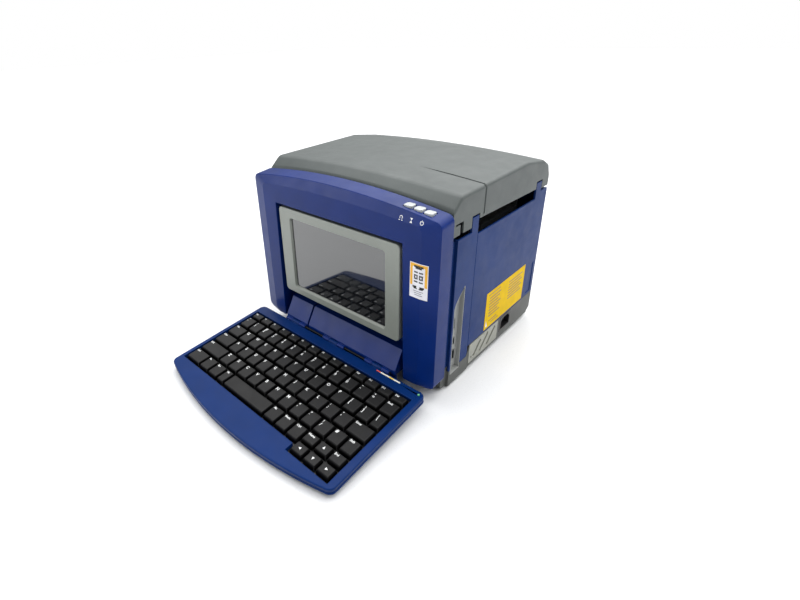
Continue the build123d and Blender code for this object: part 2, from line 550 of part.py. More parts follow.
with BuildPart() as lid_shell:
    loft([lid_section(-BODY_HALF, 0, 0), lid_section(0, 1, 0), lid_section(BODY_HALF, 0, 0)])
    loft([lid_section(-BODY_INNER, 0.03, WALL), lid_section(0, 1, WALL),
          lid_section(BODY_INNER, 0.03, WALL)],
         mode=Mode.SUBTRACT)
    for side in (-1, 1):
        low, high = sorted((side * (BODY_INNER - 1), side * (BODY_HALF + 1)))
        block((low, FRONT_POST[0] - POST_GAP, 190), (high, FRONT_POST[1] + POST_GAP,
              FRONT_POST[2] + NOTCH_HEADROOM), Mode.SUBTRACT)
        block((low, REAR_POST[0] - POST_GAP, 190), (high, REAR_POST[1] + POST_GAP,
              REAR_POST[2] + NOTCH_HEADROOM), Mode.SUBTRACT)
        side_slab([(FRONT_POST[1], 190), (REAR_POST[0], 190), (REAR_POST[0], SLOT_TOP),
                   (FRONT_POST[1], SLOT_TOP_FRONT)], low, high, Mode.SUBTRACT)
        # an angled slot frees a springy tongue in the front of the skirt
        block((low, -87.8, 190), (high, -82.0, 210.3), Mode.SUBTRACT)
        block((low, -97.0, 208.3), (high, -82.0, 210.3), Mode.SUBTRACT)
        ear = sorted((side * LID_EAR_X[0], side * LID_EAR_X[1]))
        block((ear[0], LID_AXIS_Y, LID_AXIS_Z - LID_LUG_RADIUS),
              (ear[1], REAR_Y - WALL, LID_AXIS_Z + LID_LUG_RADIUS))
        rod((ear[0], LID_AXIS_Y, LID_AXIS_Z), (ear[1], LID_AXIS_Y, LID_AXIS_Z), LID_LUG_RADIUS)
        rod((ear[0] - 1, LID_AXIS_Y, LID_AXIS_Z), (ear[1] + 1, LID_AXIS_Y, LID_AXIS_Z),
            LID_PIN_RADIUS + PIN_FIT, Mode.SUBTRACT)
        lug = sorted((side * LID_LUG_X[0], side * LID_LUG_X[1]))
        block((lug[0] - 0.4, REAR_Y - WALL - 1, 190),
              (lug[1] + 0.4, REAR_Y + 1, LID_AXIS_Z + LID_LUG_RADIUS + 1),
              Mode.SUBTRACT)
    # styling groove across the right half and down the right side
    front_slab([(48.0, 244.6), (BODY_HALF + 1, 237.4), (BODY_HALF + 1, 252.0), (48.0, 252.0)], -42.6, -40.0,
               Mode.SUBTRACT)
    block((BODY_HALF - 1.0, -42.6, 206.0), (BODY_HALF + 1, -40.0, 240.0), Mode.SUBTRACT)
finish(lid_shell, "lid_shell")

# ================================================================ display
with BuildPart() as display_frame:
    glass_front = DISPLAY_FRONT + DISPLAY_PLATE
    skirt_rear = -118.0
    block((-DISPLAY_HALF, DISPLAY_FRONT, DISPLAY_BOTTOM), (DISPLAY_HALF, skirt_rear, DISPLAY_TOP))
    fillet(display_frame.edges().filter_by(Axis.Y), 5.5)
    fillet(display_frame.edges().group_by(Axis.Y)[0], 1.2)
    block((-DISPLAY_HALF + DISPLAY_WALL, glass_front, DISPLAY_BOTTOM + DISPLAY_WALL),
          (DISPLAY_HALF - DISPLAY_WALL, skirt_rear + 1, DISPLAY_TOP - DISPLAY_WALL), Mode.SUBTRACT)
    window_rear = front_plane(glass_front + 0.5)
    window_front = front_plane(DISPLAY_FRONT - 0.01)
    with BuildSketch(window_rear) as small:
        with Locations((0, (SCREEN_BOTTOM + SCREEN_TOP) / 2)):
            RectangleRounded(2 * SCREEN_HALF, SCREEN_TOP - SCREEN_BOTTOM, 2.0)
    with BuildSketch(window_front) as large:
        with Locations((0, (SCREEN_BOTTOM + SCREEN_TOP) / 2)):
            RectangleRounded(2 * SCREEN_HALF + 4, SCREEN_TOP - SCREEN_BOTTOM + 4, 4.0)
    loft([small.sketch, large.sketch], ruled=True, mode=Mode.SUBTRACT)
    for side in (-1, 1):
        rod((side * 90.0, DISPLAY_AXIS_Y, DISPLAY_AXIS_Z), (side * 99.0, DISPLAY_AXIS_Y, DISPLAY_AXIS_Z),
            DISPLAY_PIN_RADIUS + PIN_FIT, Mode.SUBTRACT)
finish(display_frame, "display_frame")

with BuildPart() as display_glass:
    block((-90.0, glass_front, DISPLAY_BOTTOM + 4.5),
          (90.0, glass_front + GLASS_THICKNESS, DISPLAY_TOP - 4.5))
finish(display_glass, "display_glass")

with BuildPart() as display_back:
    back_half = DISPLAY_HALF - DISPLAY_WALL - FIT
    block((-back_half, glass_front + GLASS_THICKNESS, DISPLAY_BOTTOM + DISPLAY_WALL + FIT),
          (back_half, DISPLAY_BACK, DISPLAY_TOP - DISPLAY_WALL - FIT))
    chamfer(display_back.edges().group_by(Axis.Y)[-1], 3.0)
    for side in (-1, 1):  # room for the ends of the pivot pins
        rod((side * 93.5, DISPLAY_AXIS_Y, DISPLAY_AXIS_Z), (side * 99.0, DISPLAY_AXIS_Y, DISPLAY_AXIS_Z),
            DISPLAY_PIN_RADIUS + 0.6, Mode.SUBTRACT)
finish(display_back, "display_back")

with BuildPart() as pivot_pins:
    for side in (-1, 1):
        rod((side * 94.3, DISPLAY_AXIS_Y, DISPLAY_AXIS_Z), (side * 103.6, DISPLAY_AXIS_Y, DISPLAY_AXIS_Z),
            DISPLAY_PIN_RADIUS)
        rod((side * (DISPLAY_HALF + 0.4), DISPLAY_AXIS_Y, DISPLAY_AXIS_Z),
            (side * 101.3, DISPLAY_AXIS_Y, DISPLAY_AXIS_Z), DISPLAY_PIN_RADIUS + 1.4)
        rod((side * LID_EAR_X[0], LID_AXIS_Y, LID_AXIS_Z),
            (side * (LID_LUG_X[1] + 0.8), LID_AXIS_Y, LID_AXIS_Z),
            LID_PIN_RADIUS)
finish(pivot_pins, "pivot_pins")

# ================================================================ keyboard tray
TRAY_PLANE = Plane(origin=(0, TRAY_REAR_Y, TRAY_REAR_Z), x_dir=(1, 0, 0),
                   z_dir=(0, -sin(radians(TRAY_TILT)), cos(radians(TRAY_TILT))))
KEY_LEFT = -137.3
KEY_RIGHT = 134.9
FUNCTION_ROW = (-17.0, -30.0)  # local y of the function row's edges
ROW_PITCH = 20.6
FIRST_ROW = -30.2
WELL_MARGIN = 1.6
CLUSTER_LEFT = 78.3  # left edge of the raised arrow cluster
CLUSTER_ROW = 15.3
WELL_FRONT = FIRST_ROW - 5 * ROW_PITCH - WELL_MARGIN
CLUSTER_FRONT = FIRST_ROW - 4 * ROW_PITCH - 2 * CLUSTER_ROW - WELL_MARGIN
KEY_BASE = -3.4  # underside of the keys, measured from the tray's top plane
KEY_TOP = 0.7
STEM = 5.0
PLATE_TOP = -TRAY_TOP_THICKNESS
KEY_PLATE = 1.4
PAN_FLOOR = 1.4


def tray_outline(inset):
    """Face with the tray's outline in its own plane, moved in by inset."""
    half = TRAY_HALF - inset
    with BuildSketch() as outline:
        with BuildLine():
            Line((-half, -inset), (half, -inset))
            Line((half, -inset), (half, -TRAY_LENGTH + inset))
            ThreePointArc((half, -TRAY_LENGTH + inset), (0, -TRAY_LENGTH - TRAY_BOW + inset),
                          (-half, -TRAY_LENGTH + inset))
            Line((-half, -TRAY_LENGTH + inset), (-half, -inset))
        make_face()
        fillet(outline.vertices(), TRAY_RADIUS - inset)
    return outline.sketch


def tray_slab(face, w_from, w_to, mode=Mode.ADD):
    """Extrude a face drawn in the tray's plane between two heights above that plane."""
    placed = TRAY_PLANE.offset(w_from) * face
    extrude(placed, amount=w_to - w_from, dir=TRAY_PLANE.z_dir, mode=mode)


def tray_block(low, high, mode=Mode.ADD):
    """Add or cut a box given in the tray's own axes."""
    with BuildSketch() as face:
        with Locations(((low[0] + high[0]) / 2, (low[1] + high[1]) / 2)):
            Rectangle(high[0] - low[0], high[1] - low[1])
    tray_slab(face.sketch, low[2], high[2], mode)


def well_outline(grow):
    """Face with the stepped outline of the key well."""
    left = KEY_LEFT - WELL_MARGIN - grow
    right = KEY_RIGHT + WELL_MARGIN + grow
    rear = FUNCTION_ROW[0] + WELL_MARGIN + grow
    step = CLUSTER_LEFT - WELL_MARGIN - grow
    with BuildSketch() as outline:
        with BuildLine():
            Polyline((left, rear), (right, rear), (right, CLUSTER_FRONT - grow),
                     (step, CLUSTER_FRONT - grow),
                     (step, WELL_FRONT - grow), (left, WELL_FRONT - grow), close=True)
        make_face()
    return outline.sketch


def row_edges(widths):
    """Left and right edges of keys of the given widths, from the left of the well."""
    edges = []
    left = KEY_LEFT
    for width in widths:
        edges.append((left, left + width))
        left += width
    return edges


KEY = 19.3
ROW_WIDTH = KEY_RIGHT - KEY_LEFT
EVEN = ROW_WIDTH / 14
TAB, CAPS, SHIFT = 25.6, 31.2, 41.8


def row_band(number):
    """Local y of the rear and front edges of a full-height row, counted from 1."""
    return FIRST_ROW - ROW_PITCH * (number - 1), FIRST_ROW - ROW_PITCH * number


bottom_left = row_edges((29.0, 19.4, 19.3, 14.5, 76.6, 19.6, 18.8, 18.4))
cluster = []
for column in range(3):
    pitch = (KEY_RIGHT - CLUSTER_LEFT) / 3
    cluster.append((CLUSTER_LEFT + column * pitch, CLUSTER_LEFT + (column + 1) * pitch))
fourth_front = row_band(4)[1]
upper_cluster = (fourth_front, fourth_front - CLUSTER_ROW)
lower_cluster = (fourth_front - CLUSTER_ROW, fourth_front - 2 * CLUSTER_ROW)

KEY_ROWS = {
    "function_keys": [(edge, FUNCTION_ROW) for edge in row_edges([EVEN] * 14)],
    "number_keys": [(edge, row_band(1)) for edge in row_edges([EVEN] * 14)],
    "upper_keys": [(edge,
                    row_band(2)) for edge in row_edges([TAB] + [KEY] * 12 + [ROW_WIDTH - TAB - 12 * KEY])],
    "home_keys": [(edge,
                   row_band(3)) for edge in row_edges([CAPS] + [KEY] * 11 + [ROW_WIDTH - CAPS - 11 * KEY])],
    "lower_keys": [(edge,
                    row_band(4)) for edge in row_edges([SHIFT] + [KEY] * 11 + [ROW_WIDTH - SHIFT - 11 * KEY])],
    "modifier_keys": [(edge, row_band(5)) for edge in bottom_left[:4] + bottom_left[5:]],
    "space_bar": [(bottom_left[4], row_band(5))],
    "arrow_keys": [(edge, upper_cluster) for edge in cluster] + [(edge, lower_cluster) for edge in cluster],
}

STRIP = (76.4, 111.2, -4.4, -2.6)  # indicator strip on the rear band, x and local y
LAMP = (138.2, -5.2)


tray_knuckles = [(spot - TRAY_KNUCKLE_HALF, spot + TRAY_KNUCKLE_HALF) for spot in KNUCKLE_SPOTS]
case_knuckles = []
for spot in KNUCKLE_SPOTS:
    inner = TRAY_KNUCKLE_HALF + FIT
    case_knuckles.append((spot - inner - CASE_KNUCKLE_LENGTH, spot - inner))
    case_knuckles.append((spot + inner, spot + inner + CASE_KNUCKLE_LENGTH))

with BuildPart() as keyboard_top:
    tray_slab(tray_outline(0), PLATE_TOP, 0)
    chamfer(keyboard_top.faces().sort_by(Axis.Z)[-1].edges(), TRAY_EDGE)
    for low, high in tray_knuckles:
        rod((low, HINGE_Y, HINGE_Z), (high, HINGE_Y, HINGE_Z), KNUCKLE_RADIUS)
        side_slab([(HINGE_Y - 0.6, HINGE_Z - KNUCKLE_RADIUS + 0.1), (HINGE_Y - 0.6, HINGE_Z + 1.2),
                   (TRAY_REAR_Y - 2, TRAY_REAR_Z - 1.2), (TRAY_REAR_Y - 2, TRAY_REAR_Z - 4.6)], low, high)
    tray_slab(well_outline(0), PLATE_TOP - 1, 2, Mode.SUBTRACT)
    for low, high in case_knuckles:
        rod((low - FIT, HINGE_Y, HINGE_Z), (high + FIT, HINGE_Y, HINGE_Z), KNUCKLE_RADIUS + FIT,
            Mode.SUBTRACT)
    for low, high in tray_knuckles:
        rod((low - 1, HINGE_Y, HINGE_Z), (high + 1, HINGE_Y, HINGE_Z), HINGE_PIN_RADIUS + PIN_FIT,
            Mode.SUBTRACT)
    tray_block((STRIP[0], STRIP[2], -0.8), (STRIP[1], STRIP[3], 1.0), Mode.SUBTRACT)
    with BuildSketch() as lamp_hole:
        with Locations(LAMP):
            Circle(1.4)
    tray_slab(lamp_hole.sketch, -1.5, 1, Mode.SUBTRACT)
finish(keyboard_top, "keyboard_top")

with BuildPart() as keyboard_bottom:
    tray_slab(tray_outline(0), -TRAY_THICKNESS, PLATE_TOP)
    chamfer(keyboard_bottom.faces().sort_by(Axis.Z)[0].edges(), 1.5)
    tray_slab(tray_outline(WALL), -TRAY_THICKNESS + PAN_FLOOR, 1, Mode.SUBTRACT)
    for low, high in case_knuckles:
        rod((low - FIT, HINGE_Y, HINGE_Z), (high + FIT, HINGE_Y, HINGE_Z), KNUCKLE_RADIUS + FIT,
            Mode.SUBTRACT)
finish(keyboard_bottom, "keyboard_bottom")

with BuildPart() as keyboard_plate:
    tray_slab(well_outline(3.0), PLATE_TOP - KEY_PLATE, PLATE_TOP)
    tray_slab(tray_outline(WALL + FIT), PLATE_TOP - KEY_PLATE, PLATE_TOP, Mode.INTERSECT)
    with BuildSketch() as stems:
        for keys in KEY_ROWS.values():
            for (left, right), (rear, front) in keys:
                with Locations(((left + right) / 2, (rear + front) / 2)):
                    Rectangle(STEM + 2 * 0.25, STEM + 2 * 0.25)
    tray_slab(stems.sketch, PLATE_TOP - KEY_PLATE - 1, 1, Mode.SUBTRACT)
finish(keyboard_plate, "keyboard_plate")


def key_cap(left, right, rear, front):
    """One key: a tapered cap with a stem that runs in the key plate."""
    width = right - left
    depth = rear - front
    middle = ((left + right) / 2, (rear + front) / 2)
    with BuildSketch(TRAY_PLANE.offset(KEY_BASE)) as foot:
        with Locations(middle):
            Rectangle(width - 1.2, depth - 1.2)
    with BuildSketch(TRAY_PLANE.offset(KEY_TOP)) as crown:
        with Locations((middle[0], middle[1] + 0.9)):
            Rectangle(width - 4.6, depth - 5.4)
    loft([foot.sketch, crown.sketch], ruled=True)
    tray_block((middle[0] - STEM / 2, middle[1] - STEM / 2, PLATE_TOP - KEY_PLATE - 0.1),
               (middle[0] + STEM / 2, middle[1] + STEM / 2, KEY_BASE))


for name, keys in KEY_ROWS.items():
    with BuildPart() as key_row:
        for (left, right), (rear, front) in keys:
            key_cap(left, right, rear, front)
    finish(key_row, name)

with BuildPart() as indicator_strip:
    tray_block((STRIP[0] + 0.1, STRIP[2] + 0.1, -0.8), (STRIP[1] - 0.1, STRIP[3] - 0.1, 0.2))
    with BuildSketch() as lamp:
        with Locations(LAMP):
            Circle(1.3)
    tray_slab(lamp.sketch, -1.5, 0.2)
finish(indicator_strip, "indicator_strip")

with BuildPart() as keyboard_feet:
    for side in (-1, 1):
        rod((side * 112.0, -272.0, 0), (side * 112.0, -272.0, 14.0), 8.0)
    tray_slab(tray_outline(0), -TRAY_THICKNESS, 10, Mode.SUBTRACT)
finish(keyboard_feet, "keyboard_feet")

# ================================================================ hinge covers and hinge rod
HINGE_ROD_HALF = 93.0
ramp_shell = [RAMP_BOTTOM, RAMP_TOP, (RAMP_REAR, RAMP_TOP[1]), (RAMP_REAR, RAMP_FLOOR),
              (RAMP_BOTTOM[0], RAMP_FLOOR)]
ramp_hollow = [(RAMP_BOTTOM[0] + 2.4, 29.0), (RAMP_TOP[0] + 1.2, RAMP_TOP[1] - RAMP_WALL),
               (RAMP_REAR - RAMP_WALL, RAMP_TOP[1] - RAMP_WALL),
               (RAMP_REAR - RAMP_WALL, RAMP_FLOOR + RAMP_WALL),
               (RAMP_BOTTOM[0] + 2.4, RAMP_FLOOR + RAMP_WALL)]

for name, x_from, x_to in (("hinge_cover_left", RAMP_LEFT, RAMP_SPLIT - SPLIT_HALF),
                           ("hinge_cover_right", RAMP_SPLIT + SPLIT_HALF, RAMP_RIGHT)):
    with BuildPart() as hinge_cover:
        side_slab(ramp_shell, x_from, x_to)
        side_slab(ramp_hollow, x_from + RAMP_WALL, x_to - RAMP_WALL, Mode.SUBTRACT)
        block((x_from, APRON[0], APRON[2]), (x_to, APRON[1], RAMP_FLOOR + RAMP_WALL))
        mine = [pair for pair in case_knuckles if x_from < pair[0] < x_to]
        theirs = [pair for pair in tray_knuckles if x_from < pair[0] < x_to]
        for low, high in mine:
            rod((low, HINGE_Y, HINGE_Z), (high, HINGE_Y, HINGE_Z), KNUCKLE_RADIUS)
            block((low, HINGE_Y, RAMP_FLOOR), (high, RAMP_BOTTOM[0] + 1, HINGE_Z + 2.2))
        for low, high in theirs:
            rod((low - FIT, HINGE_Y, HINGE_Z), (high + FIT, HINGE_Y, HINGE_Z), KNUCKLE_RADIUS + FIT,
                Mode.SUBTRACT)
        for low, high in mine:
            rod((low - 1, HINGE_Y, HINGE_Z), (high + 1, HINGE_Y, HINGE_Z), HINGE_PIN_RADIUS + PIN_FIT,
                Mode.SUBTRACT)
    finish(hinge_cover, name)

with BuildPart() as keyboard_hinge_rod:
    rod((-HINGE_ROD_HALF, HINGE_Y, HINGE_Z), (HINGE_ROD_HALF, HINGE_Y, HINGE_Z), HINGE_PIN_RADIUS)
finish(keyboard_hinge_rod, "keyboard_hinge_rod")

# ================================================================ deck and side plates of the label bay
DECK_FRONT = BODY_FRONT + WALL + FIT
DECK_REAR = REAR_Y - WALL - FIT
DECK_HALF = BODY_INNER - 3.3

with BuildPart() as media_deck:
    block((-DECK_HALF, DECK_FRONT, DECK_TOP - DECK_THICKNESS), (DECK_HALF, DECK_REAR, DECK_TOP))
    for side in (-1, 1):
        low, high = sorted((side * (DECK_HALF - 2), side * DECK_HALF))
        block((low, -46.0, BASE_TOP + 0.6), (high, DECK_REAR, DECK_TOP - DECK_THICKNESS))
    block((DECK_HALF - 30, DECK_FRONT - 1, DECK_TOP - 4), (DECK_HALF + 1, -60.0, DECK_TOP + 1),
          Mode.SUBTRACT)
    block((POSTS[1][0] - 6, POSTS[1][1] - 6, DECK_TOP - DECK_THICKNESS),
          (DECK_HALF, POSTS[1][1] + 14, DECK_TOP))
finish(media_deck, "media_deck")


def from_platen(direction, distance):
    """Point (x, z) at a distance from the platen's axis, direction in degrees from +X to +Z."""
    angle = radians(direction)
    return PLATEN_X + distance * cos(angle), PLATEN_Z + distance * sin(angle)


def pitch_radius(teeth):
    return GEAR_MODULE * teeth / 2


pinion_x, pinion_z = from_platen(PINION_DIRECTION, pitch_radius(PLATEN_TEETH) + pitch_radius(PINION_TEETH))
idler_distance = pitch_radius(PLATEN_TEETH) + pitch_radius(IDLER_TEETH)
idler_x, idler_z = from_platen(TAKEUP_DIRECTION, idler_distance)
takeup_x, takeup_z = from_platen(TAKEUP_DIRECTION,
                                 idler_distance + pitch_radius(IDLER_TEETH) + pitch_radius(TAKEUP_TEETH))
BUSH_RADIUS = 6.0
SPINDLE_RADIUS = 4.0
PLATE_TOP_Z = 226.0
MOTOR_HALF = 17.5
MOTOR_BOSS = 11.0
plate_outline = [(-100.0, DECK_TOP), (-100.0, 136.0), (-44.0, 136.0), (-44.0, 108.0), (6.0, 108.0),
                 (14.0, 150.0), (14.0, PLATE_TOP_Z), (124.0, PLATE_TOP_Z), (124.0, DECK_TOP)]

for name, y_from in (("front_side_plate", FRONT_PLATE_Y - PLATE_THICKNESS),
                     ("rear_side_plate", REAR_PLATE_Y)):
    with BuildPart() as side_plate:
        y_to = y_from + PLATE_THICKNESS
        front_slab(plate_outline, y_from, y_to)
        foot_y = (y_from - 10, y_to) if y_from < 0 else (y_from, y_to + 10)
        block((-100.0, foot_y[0], DECK_TOP), (-20.0, foot_y[1], DECK_TOP + PLATE_THICKNESS))
        block((20.0, foot_y[0], DECK_TOP), (100.0, foot_y[1], DECK_TOP + PLATE_THICKNESS))
        through = (y_from - 1, y_to + 1)
        rod((ROLL_X, through[0], ROLL_Z), (ROLL_X, through[1], ROLL_Z), SPINDLE_RADIUS + PIN_FIT,
            Mode.SUBTRACT)
        block((ROLL_X - SPINDLE_RADIUS - PIN_FIT, through[0], ROLL_Z),
              (ROLL_X + SPINDLE_RADIUS + PIN_FIT, through[1], 140.0), Mode.SUBTRACT)
        rod((PLATEN_X, through[0], PLATEN_Z), (PLATEN_X, through[1], PLATEN_Z), BUSH_RADIUS + 0.02,
            Mode.SUBTRACT)
        for x, z in ((SUPPLY_X, SUPPLY_Z), (takeup_x, takeup_z), (ARM_X, ARM_Z)):
            rod((x, through[0], z), (x, through[1], z), SHAFT_RADIUS + PIN_FIT, Mode.SUBTRACT)
        if y_from < 0:
            rod((pinion_x, through[0], pinion_z), (pinion_x, through[1], pinion_z), MOTOR_BOSS + 0.1,
                Mode.SUBTRACT)
            rod((idler_x, through[0], idler_z), (idler_x, through[1], idler_z), 2.0, Mode.SUBTRACT)
        block((20.0, through[0], 62.0), (108.0, through[1], 120.0), Mode.SUBTRACT)
    finish(side_plate, name)

with BuildPart() as roller_bushes:
    for y_from, collar in ((FRONT_PLATE_Y - PLATE_THICKNESS, FRONT_PLATE_Y),
                           (REAR_PLATE_Y, REAR_PLATE_Y - 1.5)):
        rod((PLATEN_X, y_from, PLATEN_Z), (PLATEN_X, y_from + PLATE_THICKNESS, PLATEN_Z), BUSH_RADIUS)
        rod((PLATEN_X, collar, PLATEN_Z), (PLATEN_X, collar + 1.5, PLATEN_Z), BUSH_RADIUS + 1.5)
    rod((PLATEN_X, -60, PLATEN_Z), (PLATEN_X, 100, PLATEN_Z), SHAFT_RADIUS + PIN_FIT, Mode.SUBTRACT)
finish(roller_bushes, "roller_bushes")

MOTOR_LENGTH = 32.0
IDLER_STUD = 2.0
with BuildPart() as drive_motor:
    block((pinion_x - MOTOR_HALF, FRONT_PLATE_Y, pinion_z - MOTOR_HALF),
          (pinion_x + MOTOR_HALF, FRONT_PLATE_Y + MOTOR_LENGTH, pinion_z + MOTOR_HALF))
    fillet(drive_motor.edges().filter_by(Axis.Y), 4.0)
    rod((pinion_x, FRONT_PLATE_Y - PLATE_THICKNESS, pinion_z), (pinion_x, FRONT_PLATE_Y, pinion_z),
        MOTOR_BOSS)
    rod((pinion_x, FRONT_PLATE_Y - PLATE_THICKNESS - 1, pinion_z), (pinion_x, FRONT_PLATE_Y + 12, pinion_z),
        2.5 + PIN_FIT, Mode.SUBTRACT)
finish(drive_motor, "drive_motor")


# ================================================================ gear train
def gear_outline(teeth, start, centre):
    """Face of an involute spur gear in the front plane; start is the angle of one tooth's middle."""
    pressure = radians(20.0)
    pitch = pitch_radius(teeth)
    base = pitch * cos(pressure)
    root = pitch - 1.25 * GEAR_MODULE
    tip = pitch + 0.9 * GEAR_MODULE
    half_tooth = pi / (2 * teeth) - GEAR_BACKLASH / (4 * pitch)
    at_pitch = tan(pressure) - pressure

    def half_angle(radius):
        roll = acos(min(1.0, base / radius))
        return half_tooth + at_pitch - (tan(roll) - roll)

    first = max(base, root)
    flank = [(root, half_angle(first) * 0.94)] if root < base else []
    for share in (0.0, 0.35, 0.7, 1.0):
        radius = first + (tip - first) * share
        flank.append((radius, half_angle(radius)))
    points = []
    for tooth in range(teeth):
        middle = radians(start) + 2 * pi * tooth / teeth
        for radius, angle in flank:
            points.append((centre[0] + radius * cos(middle - angle),
                           centre[1] + radius * sin(middle - angle)))
        for radius, angle in reversed(flank):
            points.append((centre[0] + radius * cos(middle + angle),
                           centre[1] + radius * sin(middle + angle)))
    return points


def meshed_start(teeth_a, start_a, teeth_b, direction):
    """Tooth angle of gear b that meshes with gear a, which lies on the other side of direction."""
    pitch_angle = 360.0 / teeth_a
    tooth_offset = (start_a - direction) % pitch_angle
    return direction + 180.0 - teeth_a / teeth_b * tooth_offset + 180.0 / teeth_b


platen_start = PINION_DIRECTION
pinion_start = meshed_start(PLATEN_TEETH, platen_start, PINION_TEETH, PINION_DIRECTION)
idler_start = meshed_start(PLATEN_TEETH, platen_start, IDLER_TEETH, TAKEUP_DIRECTION)
takeup_start = meshed_start(IDLER_TEETH, idler_start, TAKEUP_TEETH, TAKEUP_DIRECTION)
GEAR_REAR = FRONT_PLATE_Y - PLATE_THICKNESS - 0.8
GEAR_FRONT = GEAR_REAR - GEAR_WIDTH

with BuildPart() as platen_roller:
    rod((PLATEN_X, FRONT_PLATE_Y + 2.0, PLATEN_Z), (PLATEN_X, REAR_PLATE_Y - 2.0, PLATEN_Z), PLATEN_RADIUS)
    rod((PLATEN_X, GEAR_FRONT - 2, PLATEN_Z), (PLATEN_X, REAR_PLATE_Y + PLATE_THICKNESS + 2, PLATEN_Z),
        SHAFT_RADIUS)
    front_slab(gear_outline(PLATEN_TEETH, platen_start, (PLATEN_X, PLATEN_Z)), GEAR_FRONT, GEAR_REAR)
    for hole in range(5):
        angle = radians(platen_start + 72 * hole)
        x = PLATEN_X + 12 * cos(angle)
        z = PLATEN_Z + 12 * sin(angle)
        rod((x, GEAR_FRONT - 1, z), (x, GEAR_REAR + 1, z), 4.0, Mode.SUBTRACT)
finish(platen_roller, "platen_roller")

with BuildPart() as motor_pinion:
    front_slab(gear_outline(PINION_TEETH, pinion_start, (pinion_x, pinion_z)), GEAR_FRONT, GEAR_REAR)
    rod((pinion_x, GEAR_FRONT - 1.5, pinion_z), (pinion_x, FRONT_PLATE_Y + 10, pinion_z), 2.5)
finish(motor_pinion, "motor_pinion")

with BuildPart() as idler_gear:
    front_slab(gear_outline(IDLER_TEETH, idler_start, (idler_x, idler_z)), GEAR_FRONT, GEAR_REAR)
    rod((idler_x, GEAR_FRONT - 1, idler_z), (idler_x, FRONT_PLATE_Y - 0.5, idler_z), IDLER_STUD - PIN_FIT)
finish(idler_gear, "idler_gear")

# ================================================================ label roll, web and ribbon
media_front = MEDIA_Y - MEDIA_WIDTH / 2
media_rear = MEDIA_Y + MEDIA_WIDTH / 2
with BuildPart() as label_roll:
    rod((ROLL_X, media_front, ROLL_Z), (ROLL_X, media_rear, ROLL_Z), ROLL_RADIUS)
    rod((ROLL_X, media_front - 1, ROLL_Z), (ROLL_X, media_rear + 1, ROLL_Z), ROLL_CORE_RADIUS,
        Mode.SUBTRACT)
finish(label_roll, "label_roll")

with BuildPart() as roll_spindle:
    rod((ROLL_X, media_front, ROLL_Z), (ROLL_X, media_rear, ROLL_Z), ROLL_CORE_RADIUS - 0.05)
    rod((ROLL_X, media_front - 2.5, ROLL_Z), (ROLL_X, media_front, ROLL_Z), 38.0)
    rod((ROLL_X, media_rear, ROLL_Z), (ROLL_X, media_rear + 2.5, ROLL_Z), 30.0)
    rod((ROLL_X, FRONT_PLATE_Y - 5, ROLL_Z), (ROLL_X, REAR_PLATE_Y + 5, ROLL_Z), SPINDLE_RADIUS)
finish(roll_spindle, "roll_spindle")

roll_reach = ROLL_RADIUS + FIT
to_nip = (PLATEN_X - ROLL_X, PATH_Z - ROLL_Z)
tangent_angle = atan2(to_nip[1], to_nip[0]) + acos(roll_reach / hypot(*to_nip))
leave = (ROLL_X + roll_reach * cos(tangent_angle), ROLL_Z + roll_reach * sin(tangent_angle))
with BuildPart() as label_web:
    front_slab([leave, (PLATEN_X, PATH_Z), (PLATEN_X + 20, PATH_Z), (PLATEN_X + 20, PATH_Z + WEB_THICKNESS),
                (PLATEN_X, PATH_Z + WEB_THICKNESS), (leave[0],
                                                     leave[1] + WEB_THICKNESS)], media_front, media_rear)
finish(label_web, "label_web")

for name, x, z, radius in (("ribbon_supply", SUPPLY_X, SUPPLY_Z, 13.0),
                           ("ribbon_takeup", takeup_x, takeup_z, 9.0)):
    with BuildPart() as spool:
        rod((x, media_front, z), (x, media_rear, z), radius)
        for y in (media_front - 2.0, media_rear):
            rod((x, y, z), (x, y + 2.0, z), radius + 2.0 if name == "ribbon_supply" else radius + 3.0)
        front_end = GEAR_FRONT - 1 if name == "ribbon_takeup" else FRONT_PLATE_Y - PLATE_THICKNESS - 1
        rod((x, front_end, z), (x, REAR_PLATE_Y + PLATE_THICKNESS + 1, z), SHAFT_RADIUS)
        if name == "ribbon_takeup":
            front_slab(gear_outline(TAKEUP_TEETH, takeup_start, (x, z)), GEAR_FRONT, GEAR_REAR)
    finish(spool, name)

# ================================================================ print head, lever and cutter
HEAD_BOTTOM = PATH_Z + WEB_THICKNESS + FIT
with BuildPart() as head_arm:
    for y in (media_front - 3.0, media_rear):
        front_slab([(ARM_X - 5, ARM_Z - 2), (ARM_X - 3, ARM_Z + 4.5), (ARM_X + 4, ARM_Z + 4.5),
                    (PLATEN_X + 10, PATH_Z + 12), (PLATEN_X + 10, PATH_Z + 5), (PLATEN_X - 9,
                                                                                PATH_Z + 5)], y, y + 3.0)
    rod((ARM_X, FRONT_PLATE_Y - PLATE_THICKNESS - 1.5, ARM_Z),
        (ARM_X, REAR_PLATE_Y + PLATE_THICKNESS + 1.5, ARM_Z),
        SHAFT_RADIUS)
    block((PLATEN_X - 9, media_front - 3, PATH_Z + 7), (PLATEN_X + 10, media_rear + 3, PATH_Z + 11))
finish(head_arm, "head_arm")

with BuildPart() as print_head:
    front_slab([(PLATEN_X - 7, PATH_Z + 7), (PLATEN_X - 7, PATH_Z + 3), (PLATEN_X - 2.5, HEAD_BOTTOM),
                (PLATEN_X + 2.5, HEAD_BOTTOM), (PLATEN_X + 8, PATH_Z + 3), (PLATEN_X + 8, PATH_Z + 7)],
               media_front, media_rear)
finish(print_head, "print_head")

